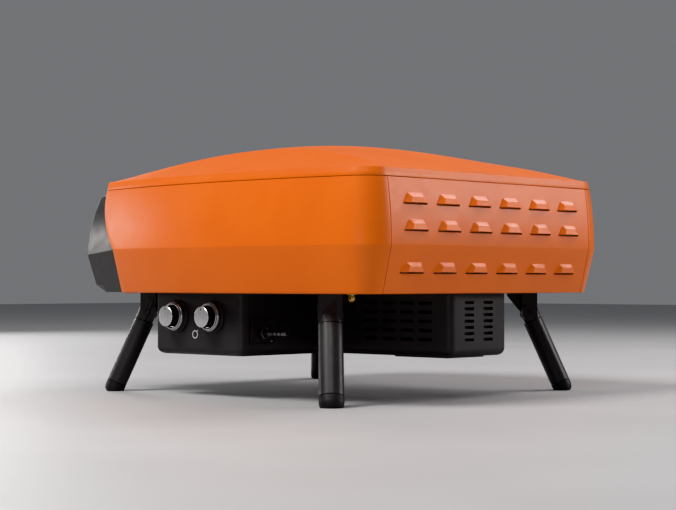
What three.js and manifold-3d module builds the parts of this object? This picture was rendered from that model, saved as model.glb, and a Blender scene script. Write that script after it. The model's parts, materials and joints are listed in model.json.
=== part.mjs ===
// Portable gas oven with a rotating baking stone, on four folding legs.
// Millimetres, +Z up, origin on the floor under the middle of the bounding box.
// The mouth faces -Y, the louvred back faces +Y, the two knobs are on the +X side.
import * as THREE from 'three';
import { mergeVertices } from 'three/addons/utils/BufferGeometryUtils.js';
import Module from 'manifold-3d';

const wasm = await Module();
wasm.setup();

// ---------------------------------------------------------------- driving dimensions
const SHELL = {
  rearY: 299, // rear face at the seam under the top cover
  rearHalf: 224, // half width of the flat rear panel
  cornerR: 39,
  sideR: 1268, // bow of the sides
  bottomZ: 151,
  ridgeZ: 216, // crease round the shell
  seamZ: 307,
  bandZ: 319, // top edge of the cover's band
  crownZ: 372,
  creaseZ: 356.7, // highest point of the crease on each side of the cover
  ridgeOut: 7, // how far the ridge stands out from the seam
  bottomIn: 9,
  bandIn: 3,
  frontBottomY: -220,
  frontRidgeY: -223,
  frontSeamY: -252,
  sheet: 1.2,
};
const AXIS = { y: 29 }; // turning axis of the stone, at x = 0
const STONE = { r: 205, z0: 190, z1: 204 };
const MOUTH = { half: 220, z0: 197.5, z1: 286, crown: 8, tipY: -312.6 };
const FLOOR = { baseZ: 153.4, boardZ: 157, panZ: 169, sheet: 1.2, boardT: 11 };
const HOUSING = { z0: 61, z1: 150.6, wall: 2, left: -68, right: 58, rearY: 269, frontY: -41 };
const WING = { x: 238, rearY: 35, frontY: -148.5 };
const KNOB = { mainY: -102.5, boosterY: -24.6, z: 117, r: 15, capOut: 24 };
const BEZEL = { r: 23.8, frontR: 18.8, boreR: 15.8, depth: 12.5 };
const GEAR = { module: 2.5, teeth: 30, pinionTeeth: 12, z0: 126, z1: 136 };
const LEG = { z: 121, tilt: 24, azimuth: 45.5, deep: 14.8, wide: 17.2, cheek: 16.6, face: 12.6 };
const LEG_REAR = { x: 223.4, y: 194.4 };
const LEG_FRONT = { x: 192.6, y: -221.8 };
const BURNER = { r: 10, pathR: 232, z: 204, endY: -112, feedX: 227 };
const CLEAR = 0.3; // gap kept between touching pieces

const rad = THREE.MathUtils.degToRad;
const finish = {
  orange: [0xe06a22, 0.45, 0.0],
  black: [0x1d1d1f, 0.5, 0.2],
  steel: [0xb9b9b6, 0.35, 0.9],
  chrome: [0xd8d8d8, 0.12, 1.0],
  brass: [0xb98a45, 0.3, 0.9],
  stone: [0xcdb893, 0.9, 0.0],
  fibre: [0xe8e4da, 1.0, 0.0],
  plastic: [0x222224, 0.6, 0.0],
  rubber: [0x161616, 0.85, 0.0],
  ceramic: [0xece8dd, 0.4, 0.0],
};

// ---------------------------------------------------------------- geometry helpers
function positionsOnly(geometry) {
  geometry.deleteAttribute('normal');
  geometry.deleteAttribute('uv');
  return mergeVertices(geometry, 1e-4);
}

function signedVolume(points, faces) {
  let sum = 0;
  for (const [a, b, c] of faces) {
    sum += points[a].dot(new THREE.Vector3().crossVectors(points[b], points[c]));
  }
  return sum / 6;
}

// A closed body from points and triangles, faces turned outwards, slivers dropped.
function body(points, faces) {
  const flip = signedVolume(points, faces) < 0;
  const index = faces.flatMap(([a, b, c]) => (flip ? [a, c, b] : [a, b, c]));
  const raw = new THREE.BufferGeometry().setFromPoints(points);
  raw.setIndex(index);
  const merged = mergeVertices(raw, 1e-4);
  const kept = [];
  const old = merged.index.array;
  for (let i = 0; i < old.length; i += 3) {
    const [a, b, c] = [old[i], old[i + 1], old[i + 2]];
    if (a !== b && b !== c && c !== a) kept.push(a, b, c);
  }
  merged.setIndex(kept);
  return merged;
}

function toManifold(geometry) {
  const clean = positionsOnly(geometry.clone());
  const mesh = new wasm.Mesh({
    numProp: 3,
    vertProperties: new Float32Array(clean.attributes.position.array),
    triVerts: new Uint32Array(clean.index.array),
  });
  mesh.merge();
  return new wasm.Manifold(mesh);
}

function fromManifold(solid) {
  const mesh = solid.getMesh();
  const geometry = new THREE.BufferGeometry();
  geometry.setAttribute('position', new THREE.BufferAttribute(new Float32Array(mesh.vertProperties), 3));
  geometry.setIndex(new THREE.BufferAttribute(new Uint32Array(mesh.triVerts), 1));
  return geometry;
}

function join(first, ...others) {
  return fromManifold(others.reduce((sum, g) => sum.add(toManifold(g)), toManifold(first)));
}

function cut(first, ...others) {
  return fromManifold(others.reduce((sum, g) => sum.subtract(toManifold(g)), toManifold(first)));
}

function block(x0, x1, y0, y1, z0, z1) {
  const geometry = new THREE.BoxGeometry(x1 - x0, y1 - y0, z1 - z0);
  return geometry.translate((x0 + x1) / 2, (y0 + y1) / 2, (z0 + z1) / 2);
}

// Extrusion upwards of a plan outline given as [x, y] points or as a Shape.
function prism(outline, z0, z1, holes = []) {
  const plain = () => new THREE.Shape(outline.map((p) => new THREE.Vector2(...p)));
  const shape = outline instanceof THREE.Shape ? outline : plain();
  shape.holes.push(...holes);
  const options = { depth: z1 - z0, bevelEnabled: false, curveSegments: 8 };
  return new THREE.ExtrudeGeometry(shape, options).translate(0, 0, z0);
}

function circleHole(x, y, r) {
  return new THREE.Path().absarc(x, y, r, 0, 2 * Math.PI, true);
}

// Turned part about +Z from [radius, height] points that start and end on the axis or close.
function turned(profile, segments = 24) {
  const geometry = new THREE.LatheGeometry(profile.map((p) => new THREE.Vector2(...p)), segments);
  return geometry.rotateX(Math.PI / 2);
}

function rod(r, z0, z1, segments = 20) {
  return turned([[0, z0], [r, z0], [r, z1], [0, z1]], segments);
}

function ring(r0, r1, z0, z1, segments = 24) {
  return turned([[r0, z0], [r1, z0], [r1, z1], [r0, z1], [r0, z0]], segments);
}

const alongX = (geometry) => geometry.rotateY(Math.PI / 2);
const alongY = (geometry) => geometry.rotateX(-Math.PI / 2);

// Faces of a grid of rows and columns whose first point has the given index.
function gridFaces(rows, columns, start, closed = false) {
  const faces = [];
  const last = closed ? columns : columns - 1;
  for (let i = 0; i < rows - 1; i += 1) {
    for (let j = 0; j < last; j += 1) {
      const next = (j + 1) % columns;
      const a = start + i * columns + j;
      const b = start + i * columns + next;
      faces.push([a, b, b + columns], [a, b + columns, a + columns]);
    }
  }
  return faces;
}

// Sheet metal between an outer and an inner grid of points with the same rows and columns.
function sheet(outer, inner) {
  const rows = outer.length;
  const columns = outer[0].length;
  const count = rows * columns;
  const points = [...outer.flat(), ...inner.flat()];
  const faces = gridFaces(rows, columns, 0);
  for (const [a, b, c] of gridFaces(rows, columns, count)) faces.push([a, c, b]);
  const rim = [];
  for (let j = 0; j < columns - 1; j += 1) rim.push(j);
  for (let i = 0; i < rows - 1; i += 1) rim.push(i * columns + columns - 1);
  for (let j = columns - 1; j > 0; j -= 1) rim.push((rows - 1) * columns + j);
  for (let i = rows - 1; i > 0; i -= 1) rim.push(i * columns);
  rim.forEach((a, k) => {
    const b = rim[(k + 1) % rim.length];
    faces.push([a, count + b, b], [a, count + a, count + b]);
  });
  return body(points, faces);
}

// Ring-shaped body: a closed sequence of loops, each loop a closed list of points.
function loopedRing(loops) {
  const columns = loops[0].length;
  const points = [...loops.flat(), ...loops[0]];
  return body(points, gridFaces(loops.length + 1, columns, 0, true));
}

// Offset of an open [offset, height] profile to its left by a sheet thickness.
function thicken(profile, t) {
  return profile.map((p, i) => {
    const before = profile[Math.max(i - 1, 0)];
    const after = profile[Math.min(i + 1, profile.length - 1)];
    const normals = [[before, p], [p, after]]
      .filter(([a, b]) => a !== b)
      .map(([a, b]) => new THREE.Vector2(-(b[1] - a[1]), b[0] - a[0]).normalize());
    const sum = normals.reduce((v, n) => v.clone().add(n)).normalize();
    const stretch = t / sum.dot(normals[0]);
    return [p[0] + sum.x * stretch, p[1] + sum.y * stretch];
  });
}

// ---------------------------------------------------------------- outline of the shell
const cornerC = new THREE.Vector2(SHELL.rearHalf, SHELL.rearY - SHELL.cornerR);
const cornerEnd = rad(10.33); // direction in which the corner meets the bowed side
const sideC = cornerC.clone().sub(
  new THREE.Vector2(Math.cos(cornerEnd), Math.sin(cornerEnd)).multiplyScalar(SHELL.sideR - SHELL.cornerR),
);

// How far the shell stands out from its seam outline at a height.
function shellOut(z) {
  if (z >= SHELL.seamZ) return (-SHELL.bandIn * (z - SHELL.seamZ)) / (SHELL.bandZ - SHELL.seamZ);
  if (z >= SHELL.ridgeZ) {
    return SHELL.ridgeOut * (1 - ((z - SHELL.ridgeZ) / (SHELL.seamZ - SHELL.ridgeZ)) ** 2);
  }
  const part = (z - SHELL.bottomZ) / (SHELL.ridgeZ - SHELL.bottomZ);
  return -SHELL.bottomIn + (SHELL.ridgeOut + SHELL.bottomIn) * part;
}

// Front edge of the side panels: upright below the ridge, leaning forward above it.
function sideFrontY(z) {
  if (z <= SHELL.ridgeZ) {
    const part = Math.max(0, (z - SHELL.bottomZ) / (SHELL.ridgeZ - SHELL.bottomZ));
    return THREE.MathUtils.lerp(SHELL.frontBottomY, SHELL.frontRidgeY, part);
  }
  const s = (z - SHELL.ridgeZ) / (SHELL.seamZ - SHELL.ridgeZ);
  return SHELL.frontRidgeY - 81 * s + 51 * s * s;
}

// Points [x, y] of the right half outline, offset by e, from the rear flat to frontY.
function halfOutline(e, frontY, cornerSteps = 5, sideSteps = 8, startX = SHELL.rearHalf) {
  const points = [[startX, SHELL.rearY + e]];
  for (let i = startX < SHELL.rearHalf ? 0 : 1; i <= cornerSteps; i += 1) {
    const angle = THREE.MathUtils.lerp(Math.PI / 2, cornerEnd, i / cornerSteps);
    const r = SHELL.cornerR + e;
    points.push([cornerC.x + r * Math.cos(angle), cornerC.y + r * Math.sin(angle)]);
  }
  const r = SHELL.sideR + e;
  const last = Math.asin((frontY - sideC.y) / r);
  for (let i = 1; i <= sideSteps; i += 1) {
    const angle = THREE.MathUtils.lerp(cornerEnd, last, i / sideSteps);
    points.push([sideC.x + r * Math.cos(angle), sideC.y + r * Math.sin(angle)]);
  }
  return points;
}

function fullOutline(e, frontY) {
  const right = halfOutline(e, frontY);
  const left = right.map(([x, y]) => [-x, y]).reverse();
  return [...right, ...left].reverse();
}

const shellProfile = (top) => {
  const rows = [[-SHELL.bottomIn - 12, SHELL.bottomZ]];
  rows.push([-SHELL.bottomIn, SHELL.bottomZ], [SHELL.ridgeOut, SHELL.ridgeZ]);
  for (let i = 1; i <= 4; i += 1) {
    const z = THREE.MathUtils.lerp(SHELL.ridgeZ, top, i / 4);
    rows.push([shellOut(z), z]);
  }
  return rows;
};

// ---------------------------------------------------------------- shell
function sidePanel(side) {
  const profile = shellProfile(SHELL.seamZ - CLEAR);
  const inner = thicken(profile, SHELL.sheet);
  const grid = (rows) => rows.map(([e, z], i) => {
    const edge = halfOutline(e, sideFrontY(profile[i][1]), 5, 10, SHELL.rearHalf + CLEAR);
    return edge.map(([x, y]) => new THREE.Vector3(side * x, y, z));
  });
  return sheet(grid(profile), grid(inner));
}

const LOUVRE = { columns: 6, pitch: 69, rows: [187, 244, 280], half: 25, height: 13, out: 7 };

// One louvre: a hood over a slot, widest along its lower edge.
function louvreHood(x, z) {
  const base = SHELL.rearY + shellOut(z) - 1;
  const low = z - LOUVRE.height / 2;
  const high = z + LOUVRE.height / 2;
  const lip = SHELL.rearY + shellOut(low) + LOUVRE.out;
  const p = (dx, y, zz) => new THREE.Vector3(x + dx, y, zz);
  const w = LOUVRE.half;
  const points = [
    p(-w, base, low), p(w, base, low), p(w - 7, base, high), p(-w + 7, base, high),
    p(-w + 7, lip, low), p(w - 7, lip, low), p(w - 11, lip, low + 4), p(-w + 11, lip, low + 4),
  ];
  const quads = [[0, 3, 2, 1], [4, 5, 6, 7], [0, 1, 5, 4], [3, 7, 6, 2], [0, 4, 7, 3], [1, 2, 6, 5]];
  return body(points, quads.flatMap(([a, b, c, d]) => [[a, b, c], [a, c, d]]));
}

function rearPanel() {
  const profile = shellProfile(SHELL.seamZ - CLEAR);
  const half = SHELL.rearHalf - CLEAR;
  const row = ([e, z]) => [half, -half].map((x) => new THREE.Vector3(x, SHELL.rearY + e, z));
  const grid = (rows) => rows.map(row);
  let panel = sheet(grid(profile), grid(thicken(profile, SHELL.sheet)));
  const hoods = [];
  const slots = [];
  for (const z of LOUVRE.rows) {
    for (let i = 0; i < LOUVRE.columns; i += 1) {
      const x = (i - (LOUVRE.columns - 1) / 2) * LOUVRE.pitch;
      const low = z - LOUVRE.height / 2;
      const y = SHELL.rearY + shellOut(low);
      hoods.push(louvreHood(x, z));
      slots.push(block(x - 15, x + 15, y - 8, y + LOUVRE.out - 2, low - 1, low + 3));
    }
  }
  panel = join(panel, ...hoods);
  return cut(panel, ...slots);
}

// Arch along the depth, 0 at both ends and 1 at its highest point.
function arch(t, rise, fall) {
  const peak = rise / (rise + fall);
  return (t ** rise * (1 - t) ** fall) / (peak ** rise * (1 - peak) ** fall);
}

// Rows of points over the top of the cover, each row one slice from +X to -X.
function topRows(inset, drop, frontY, steps) {
  const e = -SHELL.bandIn - inset;
  const edge = halfOutline(e, frontY, ...steps);
  return edge.map(([xEdge, y]) => {
    const t = THREE.MathUtils.clamp((edge[0][1] - y) / (edge[0][1] - frontY), 0, 1);
    const plan = THREE.MathUtils.lerp(SHELL.rearHalf, xEdge, t) - 220 * t * (1 - t);
    const xCrease = Math.min(plan, xEdge);
    const zCrease = SHELL.bandZ + (SHELL.creaseZ - SHELL.bandZ) * arch(t, 1.07, 1.26);
    const zCrown = SHELL.bandZ + (SHELL.crownZ - SHELL.bandZ) * arch(t, 1.33, 1.38);
    const across = [];
    for (let k = 0; k <= 8; k += 1) {
      const u = 1 - k / 4;
      const z = THREE.MathUtils.lerp(zCrown, zCrease, u * u);
      across.push(new THREE.Vector3(u * xCrease, y, z - drop));
    }
    const rim = (sign) => new THREE.Vector3(sign * xEdge, y, SHELL.bandZ - drop);
    return [rim(1), ...across, rim(-1)];
  });
}

// Domed sheet with a skirt round its whole edge: the cover, the blanket and the liner.
function domedSheet({ inset, drop, skirtZ, skirtIn, frontY, thickness, steps = [3, 7] }) {
  const layer = (t) => {
    const rows = topRows(inset + t, drop + t, frontY + t, steps);
    const n = rows.length;
    const m = rows[0].length;
    const rim = [];
    for (let j = 0; j < m - 1; j += 1) rim.push([0, j]);
    for (let i = 0; i < n - 1; i += 1) rim.push([i, m - 1]);
    for (let j = m - 1; j > 0; j -= 1) rim.push([n - 1, j]);
    for (let i = n - 1; i > 0; i -= 1) rim.push([i, 0]);
    const points = rows.flat();
    const faces = gridFaces(n, m, 0);
    const edge = halfOutline(-skirtIn - t, frontY + t, ...steps);
    const skirt = rim.map(([i, j]) => {
      if (j > 0 && j < m - 1) {
        const share = rows[i][j].x / rows[i][0].x;
        return new THREE.Vector3(edge[i][0] * share, edge[i][1], skirtZ);
      }
      return new THREE.Vector3(edge[i][0] * (j === 0 ? 1 : -1), edge[i][1], skirtZ);
    });
    const start = points.length;
    points.push(...skirt);
    rim.forEach(([i, j], k) => {
      const next = (k + 1) % rim.length;
      const a = i * m + j;
      const b = rim[next][0] * m + rim[next][1];
      faces.push([a, start + next, b], [a, start + k, start + next]);
    });
    return { points, faces, start, length: rim.length };
  };
  const outer = layer(0);
  const inner = layer(thickness);
  const count = outer.points.length;
  const faces = [...outer.faces];
  for (const [a, b, c] of inner.faces) faces.push([count + a, count + c, count + b]);
  for (let k = 0; k < outer.length; k += 1) {
    const a = outer.start + k;
    const b = outer.start + ((k + 1) % outer.length);
    faces.push([a, count + a, count + b], [a, count + b, b]);
  }
  return body([...outer.points, ...inner.points], faces);
}

function topCover() {
  const lowZ = SHELL.seamZ + CLEAR;
  const edge = { skirtZ: lowZ, skirtIn: 0, frontY: SHELL.frontSeamY };
  return domedSheet({ inset: 0, drop: 0, ...edge, thickness: SHELL.sheet, steps: [5, 10] });
}

function mouthCutter(grow, y0, y1) {
  return block(-MOUTH.half - grow, MOUTH.half + grow, y0, y1, MOUTH.z0 - 40, MOUTH.z1 + MOUTH.crown + grow);
}

function insulationBlanket() {
  const dome = domedSheet({ inset: 3.5, drop: 5, skirtZ: 222, skirtIn: 6, frontY: -222, thickness: 9 });
  return cut(dome, mouthCutter(8, -260, -190));
}

function innerDome() {
  const skirt = { skirtZ: FLOOR.panZ + 2.6, skirtIn: 19 };
  const dome = domedSheet({ inset: 16, drop: 17, ...skirt, frontY: -210, thickness: 1.2 });
  return cut(dome, mouthCutter(4, -240, -190));
}

// ---------------------------------------------------------------- mouth
// Half outline of the hood at one depth, from the bottom middle to the top middle.
function hoodLoop(narrow, ys, bottomZ = SHELL.bottomZ + 0.4) {
  const half = [
    [0, bottomZ, ys.bottom],
    [238 - narrow, bottomZ, ys.bottom],
    [242 - narrow, Math.max(SHELL.bottomZ + 12, bottomZ + 2), ys.low],
    [256 - narrow, SHELL.ridgeZ - 0.4 * narrow, ys.ridge],
    [254 - narrow, 250, ys.middle],
    [243 - narrow, 300, ys.top],
    [0, 300, ys.top],
  ];
  return mirrorLoop(half);
}

function mirrorLoop(half) {
  const right = half.map(([x, z, y]) => new THREE.Vector3(x, y, z));
  const left = half.slice(1, -1).map(([x, z, y]) => new THREE.Vector3(-x, y, z)).reverse();
  return [...right, ...left];
}

function mouthLoop(grow, ys) {
  const half = [
    [0, MOUTH.z0 - grow, ys.bottom],
    [MOUTH.half - 4, MOUTH.z0 - grow, ys.bottom],
    [MOUTH.half + grow, MOUTH.z0 + 4, ys.low],
    [MOUTH.half + grow, SHELL.ridgeZ + 10, ys.ridge],
    [MOUTH.half + grow, 250, ys.middle],
    [MOUTH.half - 4 + grow, MOUTH.z1 + grow, ys.top],
    [0, MOUTH.z1 + MOUTH.crown + grow, ys.top],
  ];
  return mirrorLoop(half);
}

const HOOD_TIP = { bottom: -307, low: -308, ridge: MOUTH.tipY, middle: -307, top: -293 };

function mouthHood() {
  const rearY = -226;
  const flat = (y) => ({ bottom: y, low: y, ridge: y, middle: y, top: y });
  const back = (t) => Object.fromEntries(Object.entries(HOOD_TIP).map(([k, y]) => [k, y + t]));
  const t = SHELL.sheet;
  const narrow = 16.5;
  const partway = Object.fromEntries(
    Object.entries(HOOD_TIP).map(([k, y]) => [k, THREE.MathUtils.lerp(rearY, y, 0.7)]),
  );
  return loopedRing([
    hoodLoop(0, flat(rearY)),
    hoodLoop(0.7 * narrow, partway),
    hoodLoop(narrow, HOOD_TIP, SHELL.bottomZ + 9.5),
    mouthLoop(0, back(3)),
    mouthLoop(0, flat(rearY)),
    mouthLoop(t, flat(rearY)),
    mouthLoop(t, back(3 + t)),
    hoodLoop(narrow + t, back(t), SHELL.bottomZ + 13).map((p) => p.setZ(Math.min(p.z, 298))),
    hoodLoop(t, flat(rearY)).map((p) => p.setZ(THREE.MathUtils.clamp(p.z, SHELL.bottomZ + 4, 298))),
  ]);
}

function landingPlate() {
  const r = STONE.r + 7;
  const shape = new THREE.Shape();
  const half = MOUTH.half - 10;
  const y = MOUTH.tipY + 8;
  const reach = 0.86;
  shape.moveTo(-half, y);
  shape.lineTo(half, y);
  shape.lineTo(half, AXIS.y - r * Math.cos(reach));
  shape.lineTo(r * Math.sin(reach), AXIS.y - r * Math.cos(reach));
  shape.absarc(0, AXIS.y, r, -Math.PI / 2 + reach, -Math.PI / 2 - reach, true);
  shape.lineTo(-half, AXIS.y - r * Math.cos(reach));
  return prism(shape, MOUTH.z0 + CLEAR, MOUTH.z0 + CLEAR + 2);
}

// ---------------------------------------------------------------- floor of the oven
const feedSpots = [KNOB.mainY, KNOB.boosterY].map((y) => [BURNER.feedX, y]);

function floorLayer(e, frontY, z0, z1, shaftHole, feedHole) {
  const holes = [circleHole(0, AXIS.y, shaftHole), ...feedSpots.map(([x, y]) => circleHole(x, y, feedHole))];
  return prism(fullOutline(e, frontY), z0, z1, holes);
}

const basePlate = () => floorLayer(-14, -216, FLOOR.baseZ, FLOOR.baseZ + FLOOR.sheet, 16, 8);
const floorBoard = () => floorLayer(-22, -212, FLOOR.boardZ, FLOOR.boardZ + FLOOR.boardT, 12, 8);
const floorPan = () => floorLayer(-12, -222, FLOOR.panZ, FLOOR.panZ + FLOOR.sheet, 8, 8);

// ---------------------------------------------------------------- turntable and its drive
const atAxis = (geometry) => geometry.translate(0, AXIS.y, 0);

function stoneDisc() {
  const { r, z0, z1 } = STONE;
  return atAxis(turned([[0, z0], [r - 2, z0], [r, z0 + 2], [r, z1 - 2], [r - 2, z1], [0, z1]], 56));
}

function stoneCarrier() {
  const z = STONE.z0 - CLEAR;
  const hub = [[6.4, 174.4], [20, 174.4], [20, z - 4]];
  return atAxis(turned([...hub, [90, z - 4], [90, z], [6.4, z], [6.4, 174.4]], 24));
}

const thrustRing = () => atAxis(ring(9, 19, FLOOR.panZ + FLOOR.sheet + 0.2, 174.2));
const turntableShaft = () => atAxis(rod(6, 116, STONE.z0 - CLEAR - 0.2));

function shaftBearing() {
  const z = FLOOR.baseZ - 0.2;
  const hub = [[6.08, 139], [13, 139], [13, z - 4]];
  return atAxis(turned([...hub, [24, z - 4], [24, z], [6.08, z], [6.08, 139]], 24));
}

// Spur wheel: straight-sided teeth a little thinner than the gaps between them.
function spurShape(teeth, turn) {
  const pitchR = (GEAR.module * teeth) / 2;
  const step = (2 * Math.PI) / teeth;
  const points = [];
  for (let i = 0; i < teeth; i += 1) {
    const a = turn + i * step;
    const root = pitchR - 1.15 * GEAR.module;
    const tip = pitchR + 0.85 * GEAR.module;
    const corners = [[root, -0.3], [tip, -0.11], [tip, 0.11], [root, 0.3]];
    for (const [r, k] of corners) points.push([r * Math.cos(a + k * step), r * Math.sin(a + k * step)]);
  }
  return points;
}

function spurWheel(teeth, turn, bore, hubR, hubZ) {
  const wheel = prism(spurShape(teeth, turn), GEAR.z0, GEAR.z1);
  const hub = rod(hubR, hubZ, GEAR.z1 - 1, 20);
  return bore > 0 ? cut(join(wheel, hub), rod(bore, hubZ - 5, GEAR.z1 + 5, 20)) : join(wheel, hub);
}

const gearSpacing = (GEAR.module * (GEAR.teeth + GEAR.pinionTeeth)) / 2;
const atMotor = (geometry) => geometry.translate(0, AXIS.y + gearSpacing, 0);

const driveGear = () => atAxis(spurWheel(GEAR.teeth, Math.PI / 2, 6.3, 12, 118));

function motorPinion() {
  const turn = -Math.PI / 2 + Math.PI / GEAR.pinionTeeth;
  return atMotor(join(spurWheel(GEAR.pinionTeeth, turn, 0, 5, 124.5), rod(3, 108, 126, 16)));
}

function gearMotor() {
  const can = turned([[0, 70], [14, 70], [14, 84], [19, 84], [19, 116], [8, 116], [8, 120], [0, 120]], 20);
  return atMotor(cut(can, rod(3.09, 105, 121, 16)));
}

function motorBracket() {
  const z = 121.2;
  const y0 = AXIS.y + gearSpacing - 18;
  const u = [[-30, 153], [-28, 153], [-28, z + 2], [28, z + 2], [28, 153], [30, 153], [30, z], [-30, z]];
  const strip = prism(u, 0, 44).rotateX(Math.PI / 2).translate(0, y0 + 44, 0);
  return cut(strip, atMotor(rod(7, z - 5, z + 5, 16)));
}

// ---------------------------------------------------------------- housing under the oven
const legClear = 22; // from a folded leg's axis to the housing's slanted wall

const outward = new THREE.Vector2(Math.cos(rad(LEG.azimuth)), Math.sin(rad(LEG.azimuth)));

// X of the slanted wall beside the folded front right leg.
function slantX(y, extra) {
  const slope = outward.x / outward.y;
  const axisX = LEG_FRONT.x - slope * (y - LEG_FRONT.y);
  return axisX + (legClear + extra) / outward.y;
}

function housingOutline(t) {
  const h = HOUSING;
  return [
    [h.left + t, h.frontY + t],
    [slantX(h.frontY + t, t), h.frontY + t],
    [slantX(WING.frontY + t, t), WING.frontY + t],
    [WING.x - t, WING.frontY + t],
    [WING.x - t, WING.rearY - t],
    [h.right - t, WING.rearY - t],
    [h.right - t, h.rearY - t],
    [h.left + t, h.rearY - t],
  ];
}

// Outline with its outer corners rounded.
function roundedShape(points, r) {
  const shape = new THREE.Shape();
  points.forEach((p, i) => {
    const at = new THREE.Vector2(...p);
    const before = new THREE.Vector2(...points[(i + points.length - 1) % points.length]);
    const after = new THREE.Vector2(...points[(i + 1) % points.length]);
    const from = at.clone().add(before.clone().sub(at).setLength(r));
    const to = at.clone().add(after.clone().sub(at).setLength(r));
    if (i === 0) shape.moveTo(from.x, from.y);
    else shape.lineTo(from.x, from.y);
    shape.quadraticCurveTo(at.x, at.y, to.x, to.y);
  });
  return shape;
}

function roundedPrism(points, r, z0, z1, steps = 3) {
  const options = { depth: z1 - z0, bevelEnabled: false, curveSegments: steps };
  return new THREE.ExtrudeGeometry(roundedShape(points, r), options).translate(0, 0, z0);
}

const SIDE_SLOTS = {
  y0: 119, pitch: 34.5, columns: 4, z0: 85.4, rise: 12.9, rows: 5, half: 12.5, high: 4.6,
};
const REAR_SLOTS = { middle: -5.5, x: 21.4, z0: 85, rise: 8.8, rows: 7, half: 10.5, high: 4 };
const BATTERY_HATCH = { y0: 150, y1: 250, half: 40 };

function ventSlots() {
  const slots = [];
  for (let i = 0; i < SIDE_SLOTS.columns; i += 1) {
    for (let j = 0; j < SIDE_SLOTS.rows; j += 1) {
      const y = SIDE_SLOTS.y0 + i * SIDE_SLOTS.pitch;
      const z = SIDE_SLOTS.z0 + j * SIDE_SLOTS.rise;
      const h = SIDE_SLOTS.high / 2;
      slots.push(block(-80, 80, y - SIDE_SLOTS.half, y + SIDE_SLOTS.half, z - h, z + h));
    }
  }
  for (const side of [-1, 1]) {
    for (let j = 0; j < REAR_SLOTS.rows; j += 1) {
      const x = REAR_SLOTS.middle + side * REAR_SLOTS.x;
      const z = REAR_SLOTS.z0 + j * REAR_SLOTS.rise;
      const h = REAR_SLOTS.high / 2;
      slots.push(block(x - REAR_SLOTS.half, x + REAR_SLOTS.half, 255, 285, z - h, z + h));
    }
  }
  return slots;
}

const atKnob = (geometry, y) => geometry.translate(0, y, KNOB.z);

function housing() {
  const { z0, z1, wall } = HOUSING;
  const outer = join(
    roundedPrism(housingOutline(0), 12, z0 + 6, z1),
    roundedPrism(housingOutline(3), 10, z0, z0 + 6.5),
  );
  const inner = roundedPrism(housingOutline(wall), 10, z0 + wall + 6, z1 + 5);
  const lower = roundedPrism(housingOutline(wall + 3), 9, z0 + wall, z0 + wall + 7);
  const knobHoles = [KNOB.mainY, KNOB.boosterY].map((y) => atKnob(alongX(rod(6, 200, 260, 20)), y));
  const inletHole = alongY(rod(6, -10, 60, 20)).translate(INLET.x, 0, INLET.z);
  const hatch = BATTERY_HATCH;
  const bottomHole = block(-hatch.half + 3, hatch.half - 3, hatch.y0 + 3, hatch.y1 - 3, z0 - 5, z0 + 5);
  const switchHole = block(HOUSING.left - 5, HOUSING.left + 5, -7, 13, 99, 113);
  return cut(outer, inner, lower, ...ventSlots(), ...knobHoles, inletHole, bottomHole, switchHole);
}

const batteryHatch = () => {
  const h = BATTERY_HATCH;
  const plate = block(-h.half, h.half, h.y0, h.y1, HOUSING.z0 - 2, HOUSING.z0 - CLEAR);
  const lip = block(-h.half + 3.5, h.half - 3.5, h.y0 + 3.5, h.y1 - 3.5, HOUSING.z0 - 1, HOUSING.z0 + 2);
  return join(plate, lip);
};

const CELL = { r: 16.5, long: 60, x: 18, y: 200, z: 84 };

function cellRods(r, half, sides) {
  const one = (x) => alongY(rod(r, -half, half, sides)).translate(x, CELL.y, CELL.z);
  return [one(-CELL.x), one(CELL.x)];
}

function batteryTray() {
  const tray = block(-38, 38, CELL.y - 34, CELL.y + 34, 65, 82);
  return cut(tray, ...cellRods(CELL.r + 0.5, 31.5, 20));
}

// Two shrink-wrapped cells with a terminal cap across one end.
function batteryPack() {
  const half = CELL.long / 2;
  const cap = block(-CELL.x, CELL.x, CELL.y + half - 6, CELL.y + half, CELL.z - 1, CELL.z + 8);
  return join(cap, ...cellRods(CELL.r, half, 16));
}

// ---------------------------------------------------------------- rotation switch
const SWITCH = { y: 3, z: 106 };

function switchFrame() {
  const x = HOUSING.left;
  const frame = block(x - 2, x - CLEAR, SWITCH.y - 12, SWITCH.y + 12, SWITCH.z - 9, SWITCH.z + 9);
  const neck = block(x - 1, x + 14, SWITCH.y - 9.5, SWITCH.y + 9.5, SWITCH.z - 6.5, SWITCH.z + 6.5);
  const well = block(x - 5, x + 12, SWITCH.y - 7.5, SWITCH.y + 7.5, SWITCH.z - 4.5, SWITCH.z + 4.5);
  return cut(join(frame, neck), well);
}

function switchButton() {
  const x = HOUSING.left;
  return block(x - 4.5, x + 7, SWITCH.y - 7.3, SWITCH.y + 7.3, SWITCH.z - 4.3, SWITCH.z + 4.3);
}

// ---------------------------------------------------------------- gas parts
const INLET = { x: 199.8, z: 94, hexR: 9.5 };

function gasValve() {
  const barrel = alongX(rod(11, 196, WING.x - 3, 16));
  const foot = block(198, 214, -9, 9, -16, 0);
  const bore = alongX(rod(4.09, 215, 250, 20));
  const outlet = rod(5, 5, 16, 12).translate(BURNER.feedX, 0, 0);
  return cut(join(barrel, foot, outlet), bore);
}

const valveStem = () => alongX(rod(4, 219.5, WING.x + 12, 20));

function knobGrip() {
  const x = WING.x;
  const out = KNOB.capOut;
  return alongX(turned([
    [4.09, x + 6], [14, x + 6], [14, x + 10], [13, x + 11], [13.4, x + out - 2.3],
    [4.09, x + out - 2.3], [4.09, x + 6],
  ], 24));
}

function knobCap() {
  const x = WING.x + KNOB.capOut;
  return alongX(turned([[0, x - 2], [KNOB.r, x - 2], [KNOB.r, x - 0.6], [KNOB.r - 0.6, x], [0, x]], 24));
}

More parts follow.
